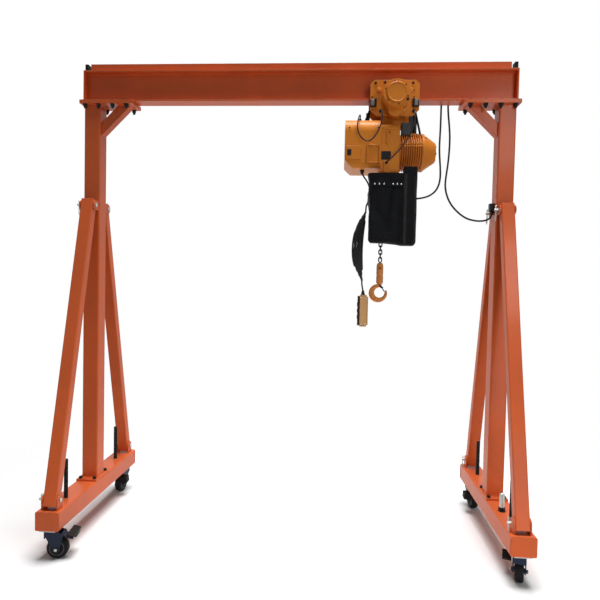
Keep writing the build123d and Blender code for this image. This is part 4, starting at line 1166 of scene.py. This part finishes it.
trolley_lead_points = [
    (0.548, -0.072, 2.735), (0.548, -0.108, 2.735), (0.550, -0.146, 2.706), (0.549, -0.164, 2.650),
    (0.531, -0.167, 2.590), (0.502, -0.166, 2.543), (0.470, -0.166, 2.521), (0.437, -0.166, 2.530),
    (0.410, -0.165, 2.565), (0.398, -0.162, 2.608), (0.402, -0.152, 2.654), (0.411, -0.122, 2.693),
    (0.418, -0.084, 2.708), (0.420, -0.054, 2.708), (0.420, -0.040, 2.698), (0.420, -0.040, 2.680),
]
limit_lead_points = [
    (0.754, -0.072, 2.735), (0.754, -0.104, 2.735), (0.753, -0.138, 2.704), (0.745, -0.152, 2.630),
    (0.716, -0.156, 2.552), (0.671, -0.159, 2.484), (0.628, -0.162, 2.438), (0.598, -0.162, 2.410),
    (0.584, -0.152, 2.398), (0.584, -0.135, 2.398),
]
lead_radius = 0.004
for lead_name, points in (("trolley_lead", trolley_lead_points), ("limit_lead", limit_lead_points)):
    lead = cord_curve(lead_name, points, lead_radius)
    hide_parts("trolley_leads")
    spline_length(lead)[0]
lead_gland = [(0.011, 0.0), (0.011, 0.006), (0.009, 0.007), (0.009, 0.013), (0.005, 0.017)]
lead_glands = bmesh.new()
for place, way in (
    (trolley_lead_points[0], (0, -1, 0)), (trolley_lead_points[-1], (0, 0, 1)),
    (limit_lead_points[0], (0, -1, 0)), (limit_lead_points[-1], (0, -1, 0)),
):
    turned(lead_glands, lead_gland, place, way, steps=20)
add_piece("lead_glands", lead_glands, gland_black, "trolley")

supply_points = [
    (0.640, 0.040, 2.320), (0.640, 0.040, 2.268), (0.680, 0.044, 2.220), (0.748, 0.046, 2.204),
    (0.830, 0.050, 2.210), (0.885, 0.054, 2.226), (0.930, 0.057, 2.262), (0.953, 0.060, 2.320),
    (0.955, 0.064, 2.399), (0.943, 0.070, 2.530), (0.949, 0.076, 2.661), (0.951, 0.084, 2.790),
    (0.951, 0.084, 2.882), (0.995, 0.084, 2.882), (0.995, 0.084, 2.790), (1.006, 0.074, 2.680),
    (1.011, 0.070, 2.595), (1.005, 0.064, 2.464), (0.989, 0.058, 2.346), (0.985, 0.054, 2.293),
    (0.994, 0.050, 2.238), (1.016, 0.046, 2.184), (1.055, 0.040, 2.132), (1.112, 0.030, 2.084),
    (1.165, 0.020, 2.066), (1.215, 0.010, 2.062), (1.255, 0.003, 2.072), (1.2735, 0.0, 2.096),
    (1.2735, 0.0, 2.122),
]
cable_radius = 0.006
supply_line = cord_curve("supply line", supply_points, cable_radius)
supply_length, supply_path = spline_length(supply_line)
bpy.data.objects.remove(supply_line)
cable_sides = 14
supply = bmesh.new()
across = Vector((0, 1, 0))
rings = []
for index, place in enumerate(supply_path):
    before, after = supply_path[max(index - 1, 0)], supply_path[min(index + 1, len(supply_path) - 1)]
    along = (after - before).normalized()
    across = (across - along * across.dot(along)).normalized()
    rings.append(ring(supply, place, across, along.cross(across), cable_radius, cable_sides))
skin(supply, rings)
supply_piece = mesh_object("supply_cable_tube", supply, cable_black)
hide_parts("supply_cable")
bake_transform(supply_piece)
gland("hoist_cable_gland", [(0.015, 0.0), (0.015, 0.010), (0.012, 0.012), (0.012, 0.022), (0.0075, 0.032)],
      supply_points[0], (0, 0, -1), "trolley")
gland("socket_cable_gland", [(0.012, 0.0), (0.012, 0.008), (0.010, 0.010), (0.010, 0.016), (0.0072, 0.022)],
      supply_points[-1], (0, 0, -1), "frame")
dress(gland_black, "supply_socket")


# Studio: a plain pale floor that runs to a white background, with large soft lamps.
# The camera stands where the photograph was taken, at eye height.
floor_radius = 9.0
floor_steps = 96
floor_mesh = bpy.data.meshes.new("floor")
floor_mesh.from_pydata(
    [(floor_radius * cos(2 * pi * k / floor_steps), floor_radius * sin(2 * pi * k / floor_steps), 0)
     for k in range(floor_steps)],
    [], [tuple(range(floor_steps))],
)
floor_material = bpy.data.materials.new("pale_floor")
floor_material.use_nodes = True
floor_tree = floor_material.node_tree


def seen_mask(tree):
    """One for what the camera, a mirror or glass shows, and nought for light on its way to a surface."""
    ray = add_node(tree, "LightPath").outputs
    shown = add_node(tree, "Math", {0: ray["Is Camera Ray"], 1: ray["Is Glossy Ray"]}, operation="MAXIMUM")
    shown = add_node(
        tree, "Math", {0: shown.outputs[0], 1: ray["Is Transmission Ray"]}, operation="MAXIMUM"
    )
    return shown.outputs[0]


floor_tone = add_node(floor_tree, "Mix", {
    "Factor": seen_mask(floor_tree), "A": (0.85, 0.85, 0.85, 1.0), "B": (0.93, 0.93, 0.93, 1.0),
}, data_type="RGBA")
floor_shader = floor_tree.nodes["Principled BSDF"]
feed(floor_tree, floor_shader, {
    "Base Color": floor_tone.outputs["Result"], "Roughness": 0.9, "Specular IOR Level": 0.1,
})
fade_start, fade_end = 1.5, 3.3
floor_place = add_node(floor_tree, "TexCoord").outputs["Object"]
floor_reach = add_node(floor_tree, "VectorMath", {0: floor_place}, operation="LENGTH").outputs["Value"]
floor_fade = add_node(
    floor_tree, "MapRange", {"Value": floor_reach, "From Min": fade_start, "From Max": fade_end},
    interpolation_type="SMOOTHSTEP",
)
floor_clear = add_node(floor_tree, "BsdfTransparent")
floor_mix = add_node(floor_tree, "MixShader", {
    0: floor_fade.outputs["Result"], 1: floor_shader.outputs[0], 2: floor_clear.outputs[0],
})
feed(floor_tree, floor_tree.nodes["Material Output"], {"Surface": floor_mix.outputs[0]})
floor_mesh.materials.append(floor_material)
floor = bpy.data.objects.new("floor", floor_mesh)
bpy.context.scene.collection.objects.link(floor)

world = bpy.data.worlds.new("studio")
world.use_nodes = True
bpy.context.scene.world = world
sky_tree = world.node_tree
sky_strength = add_node(
    sky_tree, "MapRange", {"Value": seen_mask(sky_tree), "To Min": 0.11, "To Max": 1.0}
).outputs["Result"]
feed(sky_tree, sky_tree.nodes["Background"], {"Color": (1.0, 1.0, 1.0, 1.0), "Strength": sky_strength})


def lamp(name, place, target, size, power, spread=180):
    """A large square soft light aimed at a point."""
    light = bpy.data.lights.new(name, "AREA")
    light.shape = "SQUARE"
    light.size = size
    light.energy = power
    light.spread = radians(spread)
    carrier = bpy.data.objects.new(name, light)
    carrier.location = place
    carrier.rotation_euler = (Vector(target) - Vector(place)).to_track_quat("-Z", "Y").to_euler()
    bpy.context.scene.collection.objects.link(carrier)


lamp("overhead", (0.4, 0.2, 9.0), (0.4, 0.2, 0), 5.0, 285.0, spread=80)
lamp("high_right", (2.9, -4.4, 3.9), (1.3, -0.2, 1.7), 1.1, 7.0, spread=70)
lamp("low_right", (2.6, -4.6, 0.6), (0.4, 0, 0.5), 2.0, 45.0)

camera_place = Vector((0.2844, -3.4219, 1.6436))
camera_right = Vector((0.99751, 0.06717, 0.02121))
camera_up = Vector((-0.02340, 0.03195, 0.99921))
camera_forward = Vector((-0.06645, 0.99723, -0.03344))
camera_data = bpy.data.cameras.new("photograph")
camera_data.sensor_width = 36.0
camera_data.lens = 31.25
camera = bpy.data.objects.new("photograph", camera_data)
camera.matrix_world = Matrix.Translation(camera_place) @ Matrix(
    (camera_right, camera_up, -camera_forward)
).transposed().to_4x4()
bpy.context.scene.collection.objects.link(camera)
bpy.context.scene.camera = camera
bpy.context.scene.view_settings.view_transform = "Standard"
